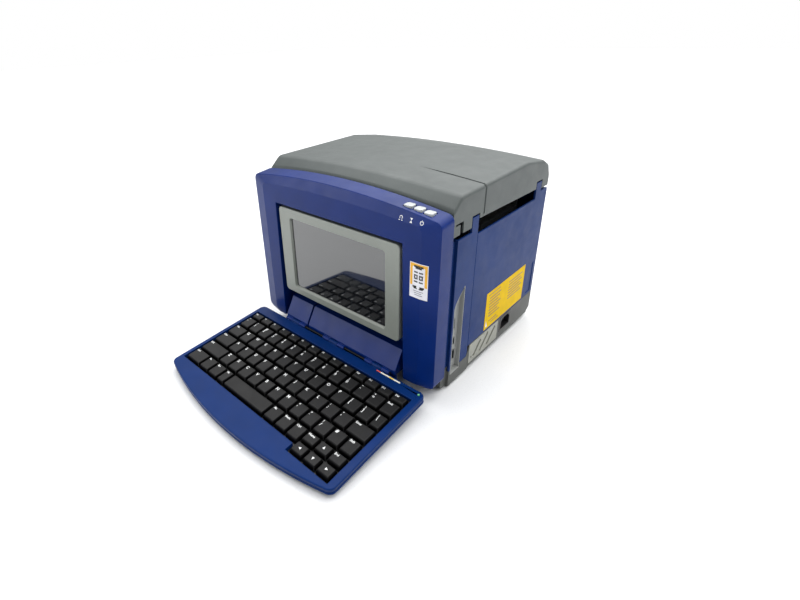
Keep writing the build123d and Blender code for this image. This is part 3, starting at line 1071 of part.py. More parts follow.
LEVER_REAR = GEAR_FRONT - 1.2
LEVER_LENGTH = 22.0
with BuildPart() as head_lever:
    lever_axis = (ARM_X - 14, ARM_Z + 2)
    rod((lever_axis[0], LEVER_REAR - 5, lever_axis[1]), (lever_axis[0], LEVER_REAR, lever_axis[1]), 5.0)
    rod((lever_axis[0], LEVER_REAR, lever_axis[1]),
        (lever_axis[0], FRONT_PLATE_Y - PLATE_THICKNESS - 0.3, lever_axis[1]), 2.5)
    block((lever_axis[0] - LEVER_LENGTH, LEVER_REAR - 5, lever_axis[1] - 2.5),
          (lever_axis[0], LEVER_REAR, lever_axis[1] + 2.5))
    rod((lever_axis[0] - LEVER_LENGTH, LEVER_REAR - 12, lever_axis[1]),
        (lever_axis[0] - LEVER_LENGTH, LEVER_REAR, lever_axis[1]), 4.0)
finish(head_lever, "head_lever")

with BuildPart() as cutter_rail:
    block((CUTTER_X - 5, FRONT_PLATE_Y, CUTTER_Z - 3), (CUTTER_X + 5, REAR_PLATE_Y, CUTTER_Z + 3))
finish(cutter_rail, "cutter_rail")

CARRIAGE_LENGTH = 20.0
with BuildPart() as cutter_carriage:
    carriage_front = FRONT_PLATE_Y + 1.0
    block((CUTTER_X - 8, carriage_front, CUTTER_Z - 6), (CUTTER_X + 8, carriage_front + CARRIAGE_LENGTH,
                                                         CUTTER_Z + 9))
    block((CUTTER_X - 5 - FIT, carriage_front - 1, CUTTER_Z - 3 - FIT),
          (CUTTER_X + 5 + FIT, carriage_front + CARRIAGE_LENGTH + 1, CUTTER_Z + 3 + FIT), Mode.SUBTRACT)
    block((CUTTER_X + 1, carriage_front + 4, CUTTER_Z + 6),
          (CUTTER_X + 3, carriage_front + CARRIAGE_LENGTH - 4, CUTTER_Z + 14))
    rod((CUTTER_X - 0.4, carriage_front + CARRIAGE_LENGTH / 2, CUTTER_Z + 13),
        (CUTTER_X + 1, carriage_front + CARRIAGE_LENGTH / 2, CUTTER_Z + 13), 8.0)
finish(cutter_carriage, "cutter_carriage")

# ================================================================ electronics in the base
with BuildPart() as main_board:
    block((-112.0, -48.0, BASE_FLOOR + 5.0), (40.0, 104.0, BASE_FLOOR + 6.6))
    for x in (-108.0, 36.0):
        for y in (-40.0, 100.0):
            rod((x, y, BASE_FLOOR), (x, y, BASE_FLOOR + 5.0), 3.0)
    for x, y, size, height in ((-60.0, 20.0, 28.0, 3.0), (-20.0, 60.0, 18.0, 2.0), (0.0, -10.0, 14.0, 2.0),
                               (-90.0, 80.0, 16.0, 9.0)):
        block((x - size / 2, y - size / 2, BASE_FLOOR + 6.6),
              (x + size / 2, y + size / 2, BASE_FLOOR + 6.6 + height))
finish(main_board, "main_board")

with BuildPart() as power_supply:
    block((52.0, -40.0, BASE_FLOOR), (106.0, 100.0, BASE_FLOOR + 34.0))
finish(power_supply, "power_supply")
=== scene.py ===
import json
import math

import bmesh
import bpy
from mathutils import Matrix, Vector
from mathutils.bvhtree import BVHTree

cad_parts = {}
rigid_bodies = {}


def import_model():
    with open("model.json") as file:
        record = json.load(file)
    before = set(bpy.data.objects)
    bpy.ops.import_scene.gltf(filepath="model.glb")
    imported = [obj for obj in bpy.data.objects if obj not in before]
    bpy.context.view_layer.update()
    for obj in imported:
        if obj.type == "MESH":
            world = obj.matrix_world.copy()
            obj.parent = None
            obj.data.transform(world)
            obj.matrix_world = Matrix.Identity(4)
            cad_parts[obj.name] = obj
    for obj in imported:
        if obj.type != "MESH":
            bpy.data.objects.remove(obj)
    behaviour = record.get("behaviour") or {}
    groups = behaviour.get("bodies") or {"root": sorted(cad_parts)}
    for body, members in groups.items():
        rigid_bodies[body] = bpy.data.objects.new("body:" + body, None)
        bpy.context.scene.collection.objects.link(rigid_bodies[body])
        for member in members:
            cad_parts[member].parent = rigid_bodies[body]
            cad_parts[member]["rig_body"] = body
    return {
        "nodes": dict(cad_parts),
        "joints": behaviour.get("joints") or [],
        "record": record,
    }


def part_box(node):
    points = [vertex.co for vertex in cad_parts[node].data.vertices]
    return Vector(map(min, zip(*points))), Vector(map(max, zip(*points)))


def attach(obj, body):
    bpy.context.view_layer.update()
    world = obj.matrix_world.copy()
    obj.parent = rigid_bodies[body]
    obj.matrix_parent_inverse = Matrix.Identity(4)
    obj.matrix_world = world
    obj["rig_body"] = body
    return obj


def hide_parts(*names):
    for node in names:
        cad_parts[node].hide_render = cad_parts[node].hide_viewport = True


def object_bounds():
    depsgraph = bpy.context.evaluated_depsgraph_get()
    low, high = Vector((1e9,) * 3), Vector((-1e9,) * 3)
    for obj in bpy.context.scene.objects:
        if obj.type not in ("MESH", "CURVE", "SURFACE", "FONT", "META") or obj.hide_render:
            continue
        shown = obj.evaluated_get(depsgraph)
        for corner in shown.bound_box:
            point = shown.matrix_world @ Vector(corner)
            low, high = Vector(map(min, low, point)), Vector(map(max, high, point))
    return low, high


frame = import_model()
CAD_BOX = [list(corner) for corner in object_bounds()]
NODES = frame["nodes"]
RECORD = frame["record"]
SLOT_OF = {part["node"]: part["material_slot"] for part in RECORD["subparts"]}
JOINTS = {joint["name"]: joint for joint in frame["joints"]}
MM = 0.001
SHARP_ANGLE = 28.0  # degrees; edges at a wider angle than this are drawn sharp, or rounded


def middle(node):
    """Centre of a CAD node's box."""
    low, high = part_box(node)
    return (low + high) / 2


def body_of(node):
    """Name of the body that a CAD node belongs to."""
    return NODES[node]["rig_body"]


# ---------------------------------------------------------------- camera, lights and floor
CAMERA_PLACE = (0.3630, -0.3847, 0.3859)
CAMERA_VIEW = (-0.6171, 0.6508, -0.4424)  # direction it looks in
CAMERA_LEAN = -0.0289  # height of its right-hand axis, from a slight roll
SENSOR_WIDTH = 36.0  # the lens is in the same unit
LENS = 21.06
LENS_SHIFT = (0.055, -0.0495)
NEAREST_SEEN = 0.01


def make_camera():
    """The photograph's viewpoint: place, direction, slight roll, lens and small shift."""
    data = bpy.data.cameras.new("camera")
    data.sensor_width = SENSOR_WIDTH
    data.lens = LENS
    data.shift_x, data.shift_y = LENS_SHIFT
    data.clip_start = NEAREST_SEEN
    camera = bpy.data.objects.new("camera", data)
    bpy.context.scene.collection.objects.link(camera)
    forward = Vector(CAMERA_VIEW).normalized()
    level = forward.cross(Vector((0, 0, 1))).normalized()
    above = level.cross(forward)
    roll = math.asin(CAMERA_LEAN / above.z)
    right = level * math.cos(roll) + above * math.sin(roll)
    up = right.cross(forward)
    turn = Matrix((right, up, -forward)).transposed().to_4x4()
    camera.matrix_world = Matrix.Translation(CAMERA_PLACE) @ turn
    bpy.context.scene.camera = camera


def area_light(name, place, target, width, height, power):
    """A white rectangular lamp that faces its target."""
    data = bpy.data.lights.new(name, "AREA")
    data.shape = "RECTANGLE"
    data.size = width
    data.size_y = height
    data.energy = power
    light = bpy.data.objects.new(name, data)
    bpy.context.scene.collection.objects.link(light)
    light.location = place
    light.rotation_euler = (Vector(target) - Vector(place)).to_track_quat("-Z", "Y").to_euler()


SKY_BAND = 0.34  # the white backdrop, as a share of the brightest part overhead
SKY_AXIS = (0.0, 0.34, 0.94)  # the brightest part is overhead and a little behind
SKY_LOW = (0.15, 0.08)  # place along the axis and brightness
SKY_MIDDLE = (0.48, 0.16)
SKY_TOP = (0.78, 1.0)
LIGHTS = (  # name, place, target, width, height and power
    ("top_box", (-0.10, 0.55, 1.45), (0, 0.09, 0.1), 1.4, 1.4, 6.0),
    ("right_box", (1.5, 0.45, 0.75), (0.1, 0.14, 0.12), 1.1, 1.1, 1.0),
    ("front_strip", (-0.80, -1.02, 0.40), (0, -0.04, 0.20), 0.95, 0.50, 6.0),
)
FLOOR_REACH = 8.0
FLOOR_GAP = 0.4 * MM  # the floor lies this far under the feet


def grey(value):
    """Scene-linear RGBA of one brightness."""
    return (value, value, value, 1)


def make_sky():
    """Sky that is brightest overhead, and an even white backdrop where the camera looks at it."""
    world = bpy.data.worlds.new("studio")
    world.use_nodes = True
    tree = world.node_tree
    place = tree.nodes.new("ShaderNodeTexCoord")
    height = tree.nodes.new("ShaderNodeVectorMath")
    height.operation = "DOT_PRODUCT"
    height.inputs[1].default_value = SKY_AXIS
    sky = tree.nodes.new("ShaderNodeValToRGB")
    for stop, (position, brightness) in zip(sky.color_ramp.elements, (SKY_LOW, SKY_TOP)):
        stop.color = grey(brightness)
        stop.position = position
    sky.color_ramp.elements.new(SKY_MIDDLE[0]).color = grey(SKY_MIDDLE[1])
    seen = tree.nodes.new("ShaderNodeLightPath")
    backdrop = tree.nodes.new("ShaderNodeMix")
    backdrop.data_type = "RGBA"
    backdrop.inputs[7].default_value = grey(SKY_BAND)
    tree.links.new(place.outputs["Generated"], height.inputs[0])
    tree.links.new(height.outputs["Value"], sky.inputs["Fac"])
    tree.links.new(seen.outputs["Is Camera Ray"], backdrop.inputs[0])
    tree.links.new(sky.outputs["Color"], backdrop.inputs[6])
    tree.links.new(backdrop.outputs[2], tree.nodes["Background"].inputs["Color"])
    tree.nodes["Background"].inputs["Strength"].default_value = 1 / SKY_BAND
    bpy.context.scene.world = world


def make_studio():
    """Sky, soft boxes and a pale floor."""
    make_sky()
    bpy.context.scene.view_settings.view_transform = "Standard"
    for light in LIGHTS:
        area_light(*light)
    mesh = bpy.data.meshes.new("floor")
    level = CAD_BOX[0][2] - FLOOR_GAP
    corners = []
    for x, y in ((-1, -1), (1, -1), (1, 1), (-1, 1)):
        corners.append((x * FLOOR_REACH, y * FLOOR_REACH, level))
    mesh.from_pydata(corners, [], [(0, 1, 2, 3)])
    floor = bpy.data.objects.new("floor", mesh)
    bpy.context.scene.collection.objects.link(floor)
    paper = moulded("floor_paper", (220, 221, 222), 0.75, grain=0.02, mottle=0.004)
    mesh.materials.append(paper)


# ---------------------------------------------------------------- materials
def linear(colour):
    """Scene-linear RGBA from sRGB given as 0 to 255."""
    values = []
    for part in colour:
        part = part / 255
        values.append(part / 12.92 if part <= 0.04045 else ((part + 0.055) / 1.055) ** 2.4)
    return (*values, 1.0)


class Shader:
    """One material's node tree; sizes and distances are in metres, in the object's own space."""

    def __init__(self, name):
        self.material = bpy.data.materials.new(name)
        self.material.use_nodes = True
        self.tree = self.material.node_tree
        self.surface = self.tree.nodes["Principled BSDF"]
        self.coords = self.add("ShaderNodeTexCoord").outputs["Object"]

    def add(self, kind, **values):
        """A node; set_ names an attribute of it, and any other name is an input."""
        node = self.tree.nodes.new(kind)
        for key, value in values.items():
            if key.startswith("set_"):
                setattr(node, key[4:], value)
            else:
                node.inputs[key.replace("_", " ")].default_value = value
        return node

    def link(self, out, into):
        self.tree.links.new(out, into)

    def feed(self, name, out):
        """Drive an input of the surface by an output."""
        self.link(out, self.surface.inputs[name])

    def set(self, name, value):
        """Give an input of the surface a fixed value."""
        self.surface.inputs[name].default_value = value

    def noise(self, scale, detail=2.0, stretch=None):
        """Noise in object space, stretched along an axis where asked."""
        texture = self.add("ShaderNodeTexNoise", Scale=scale, Detail=detail)
        coords = self.coords
        if stretch:
            mapping = self.add("ShaderNodeMapping", Scale=stretch)
            self.link(coords, mapping.inputs["Vector"])
            coords = mapping.outputs["Vector"]
        self.link(coords, texture.inputs["Vector"])
        return texture.outputs["Fac"]

    def spread(self, value, low, high, start=0.3, stop=0.7):
        """Map a noise value onto a range."""
        limits = {"From_Min": start, "From_Max": stop, "To_Min": low, "To_Max": high}
        span = self.add("ShaderNodeMapRange", **limits)
        self.link(value, span.inputs["Value"])
        return span.outputs["Result"]

    def mix(self, factor, first, second):
        """Mix two colours, each an output or an RGBA value."""
        node = self.add("ShaderNodeMix", set_data_type="RGBA")
        sockets = (node.inputs[0], node.inputs[6], node.inputs[7])
        for value, socket in zip((factor, first, second), sockets):
            if isinstance(value, bpy.types.NodeSocket):
                self.link(value, socket)
            else:
                socket.default_value = value
        return node.outputs[2]

    def axis(self, name):
        """One object-space coordinate, in metres."""
        split = self.add("ShaderNodeSeparateXYZ")
        self.link(self.coords, split.inputs[0])
        return split.outputs[name]

    def bump(self, height, strength, distance):
        """Fine relief in the surface's shading."""
        node = self.add("ShaderNodeBump", Strength=strength, Distance=distance)
        self.link(height, node.inputs["Height"])
        self.feed("Normal", node.outputs["Normal"])


def shade(colour, factor):
    """A colour made lighter or darker."""
    return tuple(min(255, part * factor) for part in colour)


def moulded(name, colour, rough, grain=0.1, scale=1500, mottle=0.05, coat=0.0, level=0.5):
    """Moulded plastic: fine grain, dark specks, slight change of colour and gloss."""
    shader = Shader(name)
    cloud = shader.spread(shader.noise(24, 4), 0, 1)
    base = shader.mix(cloud, linear(shade(colour, 1 - mottle)), linear(shade(colour, 1 + mottle)))
    speck = shader.spread(shader.noise(900, 1), 0, 0.10, 0.55, 0.75)
    base = shader.mix(speck, base, linear(shade(colour, 0.6)))
    shader.feed("Base Color", base)
    gloss = shader.spread(shader.noise(60, 3), rough - 0.05, rough + 0.05)
    shader.feed("Roughness", gloss)
    shader.set("Coat Weight", coat)
    shader.set("Coat Roughness", 0.18)
    shader.set("Specular IOR Level", level)
    shader.bump(shader.noise(scale, 2), grain, 0.00012)
    return shader.material


def metal(name, colour, rough, stretch, grain=0.1):
    """Metal with fine drawn or ground marks; stretch gives their closeness along each axis."""
    shader = Shader(name)
    lines = shader.noise(700, 4, stretch)
    dark, bright = (linear(shade(colour, factor)) for factor in (0.85, 1.08))
    base = shader.mix(shader.spread(lines, 0, 1), dark, bright)
    shader.feed("Base Color", base)
    shader.set("Metallic", 1.0)
    shader.feed("Roughness", shader.spread(lines, rough - 0.06, rough + 0.1))
    shader.bump(lines, grain, 0.00005)
    return shader.material


def screen_glass(name):
    """Dark display behind a touch glass with faint smears."""
    shader = Shader(name)
    smear = shader.spread(shader.noise(28, 5), 0, 1, 0.45, 0.8)
    base = shader.mix(smear, linear((20, 22, 25)), linear((34, 37, 40)))
    shader.feed("Base Color", base)
    shader.feed("Roughness", shader.spread(smear, 0.03, 0.09, 0, 1))
    shader.set("Specular IOR Level", 1.0)
    shader.set("IOR", 1.7)
    return shader.material


LAMPS = (  # where each colour starts, as a share of the strip's length, and the colour
    (0.0, (214, 54, 40)),
    (0.10, (250, 246, 226)),
    (0.30, (244, 206, 60)),
    (0.40, (250, 246, 226)),
    (0.62, (240, 214, 90)),
    (0.70, (246, 248, 240)),
    (0.84, (66, 176, 96)),
)


def light_strip(name):
    """Row of small lamps in several colours along the keyboard's rear edge."""
    shader = Shader(name)
    low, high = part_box("indicator_strip")
    along = shader.add("ShaderNodeMapRange", From_Min=low.x, From_Max=high.x)
    shader.link(shader.axis("X"), along.inputs["Value"])
    ramp = shader.add("ShaderNodeValToRGB")
    ramp.color_ramp.interpolation = "CONSTANT"
    for stop, (place, colour) in zip(ramp.color_ramp.elements, LAMPS[:2]):
        stop.position = place
        stop.color = linear(colour)
    for place, colour in LAMPS[2:]:
        ramp.color_ramp.elements.new(place).color = linear(colour)
    shader.link(along.outputs["Result"], ramp.inputs["Fac"])
    grains = shader.spread(shader.noise(700, 1), 0, 0.25)
    colour = shader.mix(grains, ramp.outputs["Color"], linear((250, 250, 250)))
    shader.feed("Base Color", colour)
    shader.set("Roughness", 0.25)
    shader.set("Coat Weight", 0.6)
    return shader.material


SHELL_START = 2.4 * MM  # depth under the sockets' faces where bright metal starts to show
SHELL_FULL = 0.9 * MM  # and where it is all metal


def socket_metal(name):
    """Bright socket shells with painted shade: they turn dark and dull deeper in from the panel's
    face.
    """
    shader = Shader(name)
    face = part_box("port_sockets")[1].x
    start, full = face - SHELL_START, face - SHELL_FULL
    depth = shader.add("ShaderNodeMapRange", From_Min=start, From_Max=full)
    shader.link(shader.axis("X"), depth.inputs["Value"])
    scratches = shader.spread(shader.noise(600, 3, (1, 12, 1)), 0, 1)
    bright = shader.mix(scratches, linear((120, 122, 124)), linear((168, 170, 172)))
    # painted shade: deeper in from the face the shell turns near black and loses its metal
    base = shader.mix(depth.outputs["Result"], linear((16, 16, 17)), bright)
    shader.feed("Base Color", base)
    shader.feed("Metallic", depth.outputs["Result"])
    shader.set("Roughness", 0.36)
    return shader.material


def printed_film(name, colour, rough=0.3, level=0.4):
    """Smooth printed film with a faint orange-peel surface."""
    shader = Shader(name)
    tone = shader.spread(shader.noise(90, 3), 0, 1)
    base = shader.mix(tone, linear(shade(colour, 0.96)), linear(shade(colour, 1.02)))
    shader.feed("Base Color", base)
    shader.feed("Roughness", shader.spread(shader.noise(45, 2), rough - 0.05, rough + 0.06))
    shader.set("Specular IOR Level", level)
    shader.bump(shader.noise(420, 1), 0.03, 0.0001)
    return shader.material


def wound(name, node, colour, pitch):
    """Wound film: fine rings round the node's axis, which runs along y, on its end faces."""
    shader = Shader(name)
    shift = shader.add("ShaderNodeVectorMath", set_operation="SUBTRACT")
    shift.inputs[1].default_value = middle(node)
    shader.link(shader.coords, shift.inputs[0])
    flat = shader.add("ShaderNodeVectorMath", set_operation="MULTIPLY")
    flat.inputs[1].default_value = (1, 0, 1)
    shader.link(shift.outputs[0], flat.inputs[0])
    radius = shader.add("ShaderNodeVectorMath", set_operation="LENGTH")
    shader.link(flat.outputs[0], radius.inputs[0])
    turns = shader.add("ShaderNodeMath", set_operation="MULTIPLY")
    turns.inputs[1].default_value = 2 * math.pi / pitch
    shader.link(radius.outputs["Value"], turns.inputs[0])
    wave = shader.add("ShaderNodeMath", set_operation="SINE")
    shader.link(turns.outputs[0], wave.inputs[0])
    rings = shader.spread(wave.outputs[0], 0, 1, -1, 1)
    uneven = shader.mix(shader.spread(shader.noise(40, 3), 0, 0.5), rings, grey(0.5))
    base = shader.mix(uneven, linear(shade(colour, 0.82)), linear(colour))
    shader.feed("Base Color", base)
    shader.feed("Roughness", shader.spread(shader.noise(70, 2), 0.38, 0.52))
    shader.bump(rings, 0.25, 0.0001)
    return shader.material


def circuit_board(name):
    """Green solder mask with lighter tracks and pads."""
    shader = Shader(name)
    tracks = shader.add("ShaderNodeTexBrick", Scale=160.0, Mortar_Size=0.03)
    shader.link(shader.coords, tracks.inputs["Vector"])
    base = shader.mix(tracks.outputs["Fac"], linear((22, 84, 52)), linear((52, 124, 84)))
    pads = shader.spread(shader.noise(420, 1), 0, 1, 0.64, 0.66)
    base = shader.mix(pads, base, linear((186, 176, 140)))
    shader.feed("Base Color", base)
    shader.set("Roughness", 0.35)
    shader.bump(tracks.outputs["Fac"], 0.2, 0.0001)
    return shader.material


def make_materials():
    """One material for each slot of the record."""
    return {
        "bezel_blue": moulded("bezel_blue", (1, 34, 100), 0.33, grain=0.12, level=0.17),
        "cover_blue": moulded("cover_blue", (14, 44, 98), 0.46, grain=0.14, level=0.14),
        "keyboard_blue": moulded("keyboard_blue", (2, 38, 92), 0.36, grain=0.12, level=0.12),
        "lid_grey": moulded("lid_grey", (72, 78, 77), 0.46, grain=0.16, mottle=0.03, level=0.4),
        "base_grey": moulded("base_grey", (76, 78, 75), 0.52, grain=0.16, level=0.4),
        "silver_frame": moulded("silver_frame", (126, 131, 124), 0.34, coat=0.2, mottle=0.03),
        "screen_glass": screen_glass("screen_glass"),
        "key_black": moulded("key_black", (16, 16, 17), 0.48, grain=0.22, scale=2200, level=0.25),
        "legend_white": printed_film("legend_white", (226, 228, 228), 0.45),
        "button_silver": moulded("button_silver", (176, 180, 180), 0.26, grain=0.05, coat=0.4),
        "panel_grey": moulded("panel_grey", (138, 140, 138), 0.48, grain=0.14),
        "vent_grey": moulded("vent_grey", (146, 147, 138), 0.48, grain=0.14),
        "socket_metal": socket_metal("socket_metal"),
        "black_plastic": moulded("black_plastic", (22, 22, 23), 0.40, grain=0.12),
        "rubber_black": moulded("rubber_black", (26, 26, 27), 0.72, grain=0.3, scale=900),
        "steel": metal("steel", (176, 178, 180), 0.34, (1, 1, 14)),
        "shaft_steel": metal("shaft_steel", (196, 198, 200), 0.18, (1, 12, 12), 0.03),
        "brass_bush": metal("brass_bush", (196, 158, 84), 0.30, (1, 10, 1)),
        "board_green": circuit_board("board_green"),
        "label_yellow": printed_film("label_yellow", (216, 178, 2), 0.5, 0.06),
        "sticker_white": printed_film("sticker_white", (226, 226, 232), 0.30),
        "light_strip": light_strip("light_strip"),
        "roll_white": wound("roll_white", "label_roll", (226, 227, 222), 1.1 * MM),
        "gear_white": moulded("gear_white", (222, 222, 214), 0.42, grain=0.05),
        "ribbon_black": wound("ribbon_black", "ribbon_supply", (30, 30, 33), 0.8 * MM),
        "head_ceramic": moulded("head_ceramic", (186, 184, 172), 0.22, grain=0.02),
        "ink_black": printed_film("ink_black", (20, 20, 22), 0.35),
        "ink_amber": printed_film("ink_amber", (128, 96, 14), 0.35),
        "ink_gold": printed_film("ink_gold", (226, 168, 44), 0.30),
        "ink_grey": printed_film("ink_grey", (120, 122, 132), 0.35),
    }


# ---------------------------------------------------------------- piece builders
def add_piece(name, mesh, body, material):
    """Link a new mesh, give it a material and let it ride on a CAD body."""
    piece = bpy.data.objects.new(name, mesh)
    bpy.context.scene.collection.objects.link(piece)
    mesh.materials.clear()
    mesh.materials.append(material)
    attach(piece, body)
    return piece


def weigh_edges(mesh, chosen):
    """Mark edges for a wider rounding; chosen is a test of an edge's two ends."""
    weights = mesh.attributes.new("bevel_weight_edge", "FLOAT", "EDGE")
    for edge in mesh.edges:
        ends = [mesh.vertices[index].co for index in edge.vertices]
        weights.data[edge.index].value = 1.0 if chosen(*ends) else 0.0


MERGE_DISTANCE = 0.002 * MM  # points closer than this are one
FLAT_ANGLE = 0.7  # degrees below which two faces count as one
ROUND_STEPS = 2
WIDE_ROUND_STEPS = 5
AREA_WEIGHT = 90  # how far the larger faces decide the shading at an edge


def add_rounding(piece, name, width, steps, method):
    """A bevel modifier on a piece, for the edges that its method picks."""
    bevel = piece.modifiers.new(name, "BEVEL")
    bevel.width = width
    bevel.segments = steps
    bevel.limit_method = method
    bevel.angle_limit = math.radians(SHARP_ANGLE)
    bevel.use_clamp_overlap = False


def soften(node, width, flat=False, wide=None, crease=None):
    """A copy of a CAD node with its sharp edges rounded, shown in its place.

    width may be None, for a node that only has a wide rounding. flat joins coplanar faces first,
    which suits nodes without windows. wide is a pair: a width and a test that picks the edges to
    round by it. crease keeps the shading of shallower edges apart, down to that many degrees.
    """
    mesh = NODES[node].data.copy()
    mesh.name = f"{node}_rounded"
    shape = bmesh.new()
    shape.from_mesh(mesh)
    bmesh.ops.remove_doubles(shape, verts=shape.verts, dist=MERGE_DISTANCE)
    if flat:
        limit = math.radians(FLAT_ANGLE)
        bmesh.ops.dissolve_limit(shape, angle_limit=limit, verts=shape.verts, edges=shape.edges)
    shape.to_mesh(mesh)
    shape.free()
    slot = SLOT_OF[node]
    piece = add_piece(f"{node}_rounded", mesh, body_of(node), MATERIALS[slot])
    mesh.shade_smooth()
    if wide:
        wide_width, chosen = wide
        weigh_edges(mesh, chosen)
        add_rounding(piece, "wide_rounding", wide_width, WIDE_ROUND_STEPS, "WEIGHT")
    if width:
        add_rounding(piece, "rounded_edges", width, ROUND_STEPS, "ANGLE")
    evened = piece.modifiers.new("even_shading", "WEIGHTED_NORMAL")
    evened.weight = AREA_WEIGHT
    if crease:
        mesh.set_sharp_from_angle(angle=math.radians(crease))
        evened.keep_sharp = True
    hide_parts(node)


def dress_cad_nodes():
    """Materials and smooth shading for every CAD node; the hinge rod's steel is a darker one, so
    that no bright line shows on it.
    """
    for node, item in NODES.items():
        item.data.materials.clear()
        item.data.materials.append(MATERIALS[SLOT_OF[node]])
        item.data.shade_smooth()
        item.data.set_sharp_from_angle(angle=math.radians(SHARP_ANGLE))
    rod = NODES["keyboard_hinge_rod"].data.materials
    rod.clear()
    # a darker steel than its slot's, so that the rod shows no bright line
    rod.append(metal("dark_rod_steel", (38, 39, 42), 0.45, (1, 12, 12)))


def surface_tree(node):
    """Search tree over a CAD node's faces."""
    mesh = NODES[node].data
    points = [vertex.co for vertex in mesh.vertices]
    return BVHTree.FromPolygons(points, [tuple(face.vertices) for face in mesh.polygons])


ARC_STEPS = 20


def on_circle(centre, radius, angle):
    """A flat point at an angle in radians."""
    return (centre[0] + radius * math.cos(angle), centre[1] + radius * math.sin(angle))


def arc_band(centre, inner, outer, start, stop):
    """Quads of an arc between two radii; angles in degrees."""
    faces = []
    for step in range(ARC_STEPS):
        shares = (step / ARC_STEPS, (step + 1) / ARC_STEPS)
        first, second = (math.radians(start + (stop - start) * share) for share in shares)
        corners = ((inner, first), (outer, first), (outer, second), (inner, second))
        faces.append([on_circle(centre, radius, angle) for radius, angle in corners])
    return faces


def bar(left, bottom, right, top, cuts=()):
    """One rectangle, split at the given x positions."""
    edges = [left] + [cut for cut in cuts if left < cut < right] + [right]
    return [[(a, bottom), (b, bottom), (b, top), (a, top)] for a, b in zip(edges, edges[1:])]


STROKE = 0.022  # how much each side of a stroke is moved out, as a share of the size


def text_faces(text, size, corner):
    """Flat faces of a word in Blender's own font, from its upper left corner."""
    curve = bpy.data.curves.new("word", "FONT")
    curve.body = text
    curve.size = size
    curve.resolution_u = 2
    curve.offset = size * STROKE
    holder = bpy.data.objects.new("word", curve)
    mesh = bpy.data.meshes.new_from_object(holder)
    points = [(v.co.x, v.co.y) for v in mesh.vertices]
    faces = [list(p.vertices) for p in mesh.polygons]
    bpy.data.objects.remove(holder)
    bpy.data.curves.remove(curve)
    bpy.data.meshes.remove(mesh)
    if not points:
        return []
    shift = (corner[0] - min(x for x, _ in points), corner[1] - max(y for _, y in points))
    return [[(points[i][0] + shift[0], points[i][1] + shift[1]) for i in face] for face in faces]


def thin_print(name, faces, place, body, slot, thickness=0.05 * MM):
    """Printed marks as one thin raised mesh; place turns a flat point into a point in space."""
    shape = bmesh.new()
    known = {}
    for face in faces:
        corners = []
        for point in face:
            key = (round(point[0], 7), round(point[1], 7))
            if key not in known:
                known[key] = shape.verts.new(place(*point))
            if known[key] not in corners:
                corners.append(known[key])
        if len(corners) > 2 and shape.faces.get(corners) is None:
            shape.faces.new(corners)
    bmesh.ops.triangulate(shape, faces=shape.faces)
    mesh = bpy.data.meshes.new(name)
    shape.to_mesh(mesh)
    shape.free()
    piece = add_piece(name, mesh, body, MATERIALS[slot])
    skin = piece.modifiers.new("ink_thickness", "SOLIDIFY")
    skin.thickness = thickness
    skin.offset = 1.0


PRINT_LIFT = 0.02 * MM  # how far printed marks start above the surface
RAY_RUN_UP = 0.3  # how far in front of the surface a ray starts


def onto(node, direction, spot):
    """A place function that drops flat points on a node's surface along a direction.

    spot turns a flat point into one in space, near the surface.
    """
    tree = surface_tree(node)
    direction = Vector(direction)

    def place(u, v):
        start = spot(u, v) - direction * RAY_RUN_UP
        hit, normal, _, _ = tree.ray_cast(start, direction)
        if hit is None:
            hit, normal, _, _ = tree.find_nearest(spot(u, v))
        if normal.dot(direction) > 0:
            normal = -normal
        return hit + normal * PRINT_LIFT

    return place


# ---------------------------------------------------------------- keyboard
LEGENDS = {
    "function_keys": ["Esc"] + [f"F{number}" for number in range(1, 13)] + ["Del"],
    "number_keys": [*"`1234567890-=", "Back"],
    "upper_keys": ["Tab", *"QWERTYUIOP[]\\"],
    "home_keys": ["Caps", *"ASDFGHJKL;'", "Enter"],
    "lower_keys": ["Shift", *"ZXCVBNM,./#", "Shift"],
    "modifier_keys": ["Ctrl", "Fn", "Sys", "Alt", "Alt", "Menu", "Ctrl"],
    "space_bar": [""],
    "arrow_keys": ["Home", "up", "End", "left", "down", "right"],
}
SECOND_LEGENDS = {
    "number_keys": [*"~!@#$%^&*()_+", ""],
    "upper_keys": [""] * 11 + ["{", "}", "|"],
    "home_keys": [""] * 10 + [":", '"', ""],
    "lower_keys": [""] * 8 + ["<", ">", "?", "", ""],
}
KEY_NORMAL = -Vector(JOINTS["function_press"]["axis"]).normalized()
KEY_UP = KEY_NORMAL.cross(Vector((1, 0, 0)))
KEY_ROUND = 0.55 * MM
CROWN_DEPTH = 0.05 * MM  # points this close under a key's highest belong to its top face
ARROWS = {"up": 90, "left": 180, "down": 270, "right": 0}  # turn of each one, in degrees
ARROW_REACH = 1.9 * MM
ARROW_CORNERS = (0, 2.3, -2.3)  # radians round the arrow's middle
LETTER_SIZE = 5.4 * MM
WORD_SIZE = 3.5 * MM
FUNCTION_SIZE = 3.2 * MM
SECOND_SIZE = 4.0 * MM
LEGEND_LEFT = 1.2 * MM  # margins of a legend on its key's top face
LEGEND_TOP = 0.9 * MM
SECOND_TOP = 0.8 * MM
UNDER_SECOND = 5.0 * MM
LEGEND_LIFT = 0.015 * MM
LEGEND_THICKNESS = 0.03 * MM


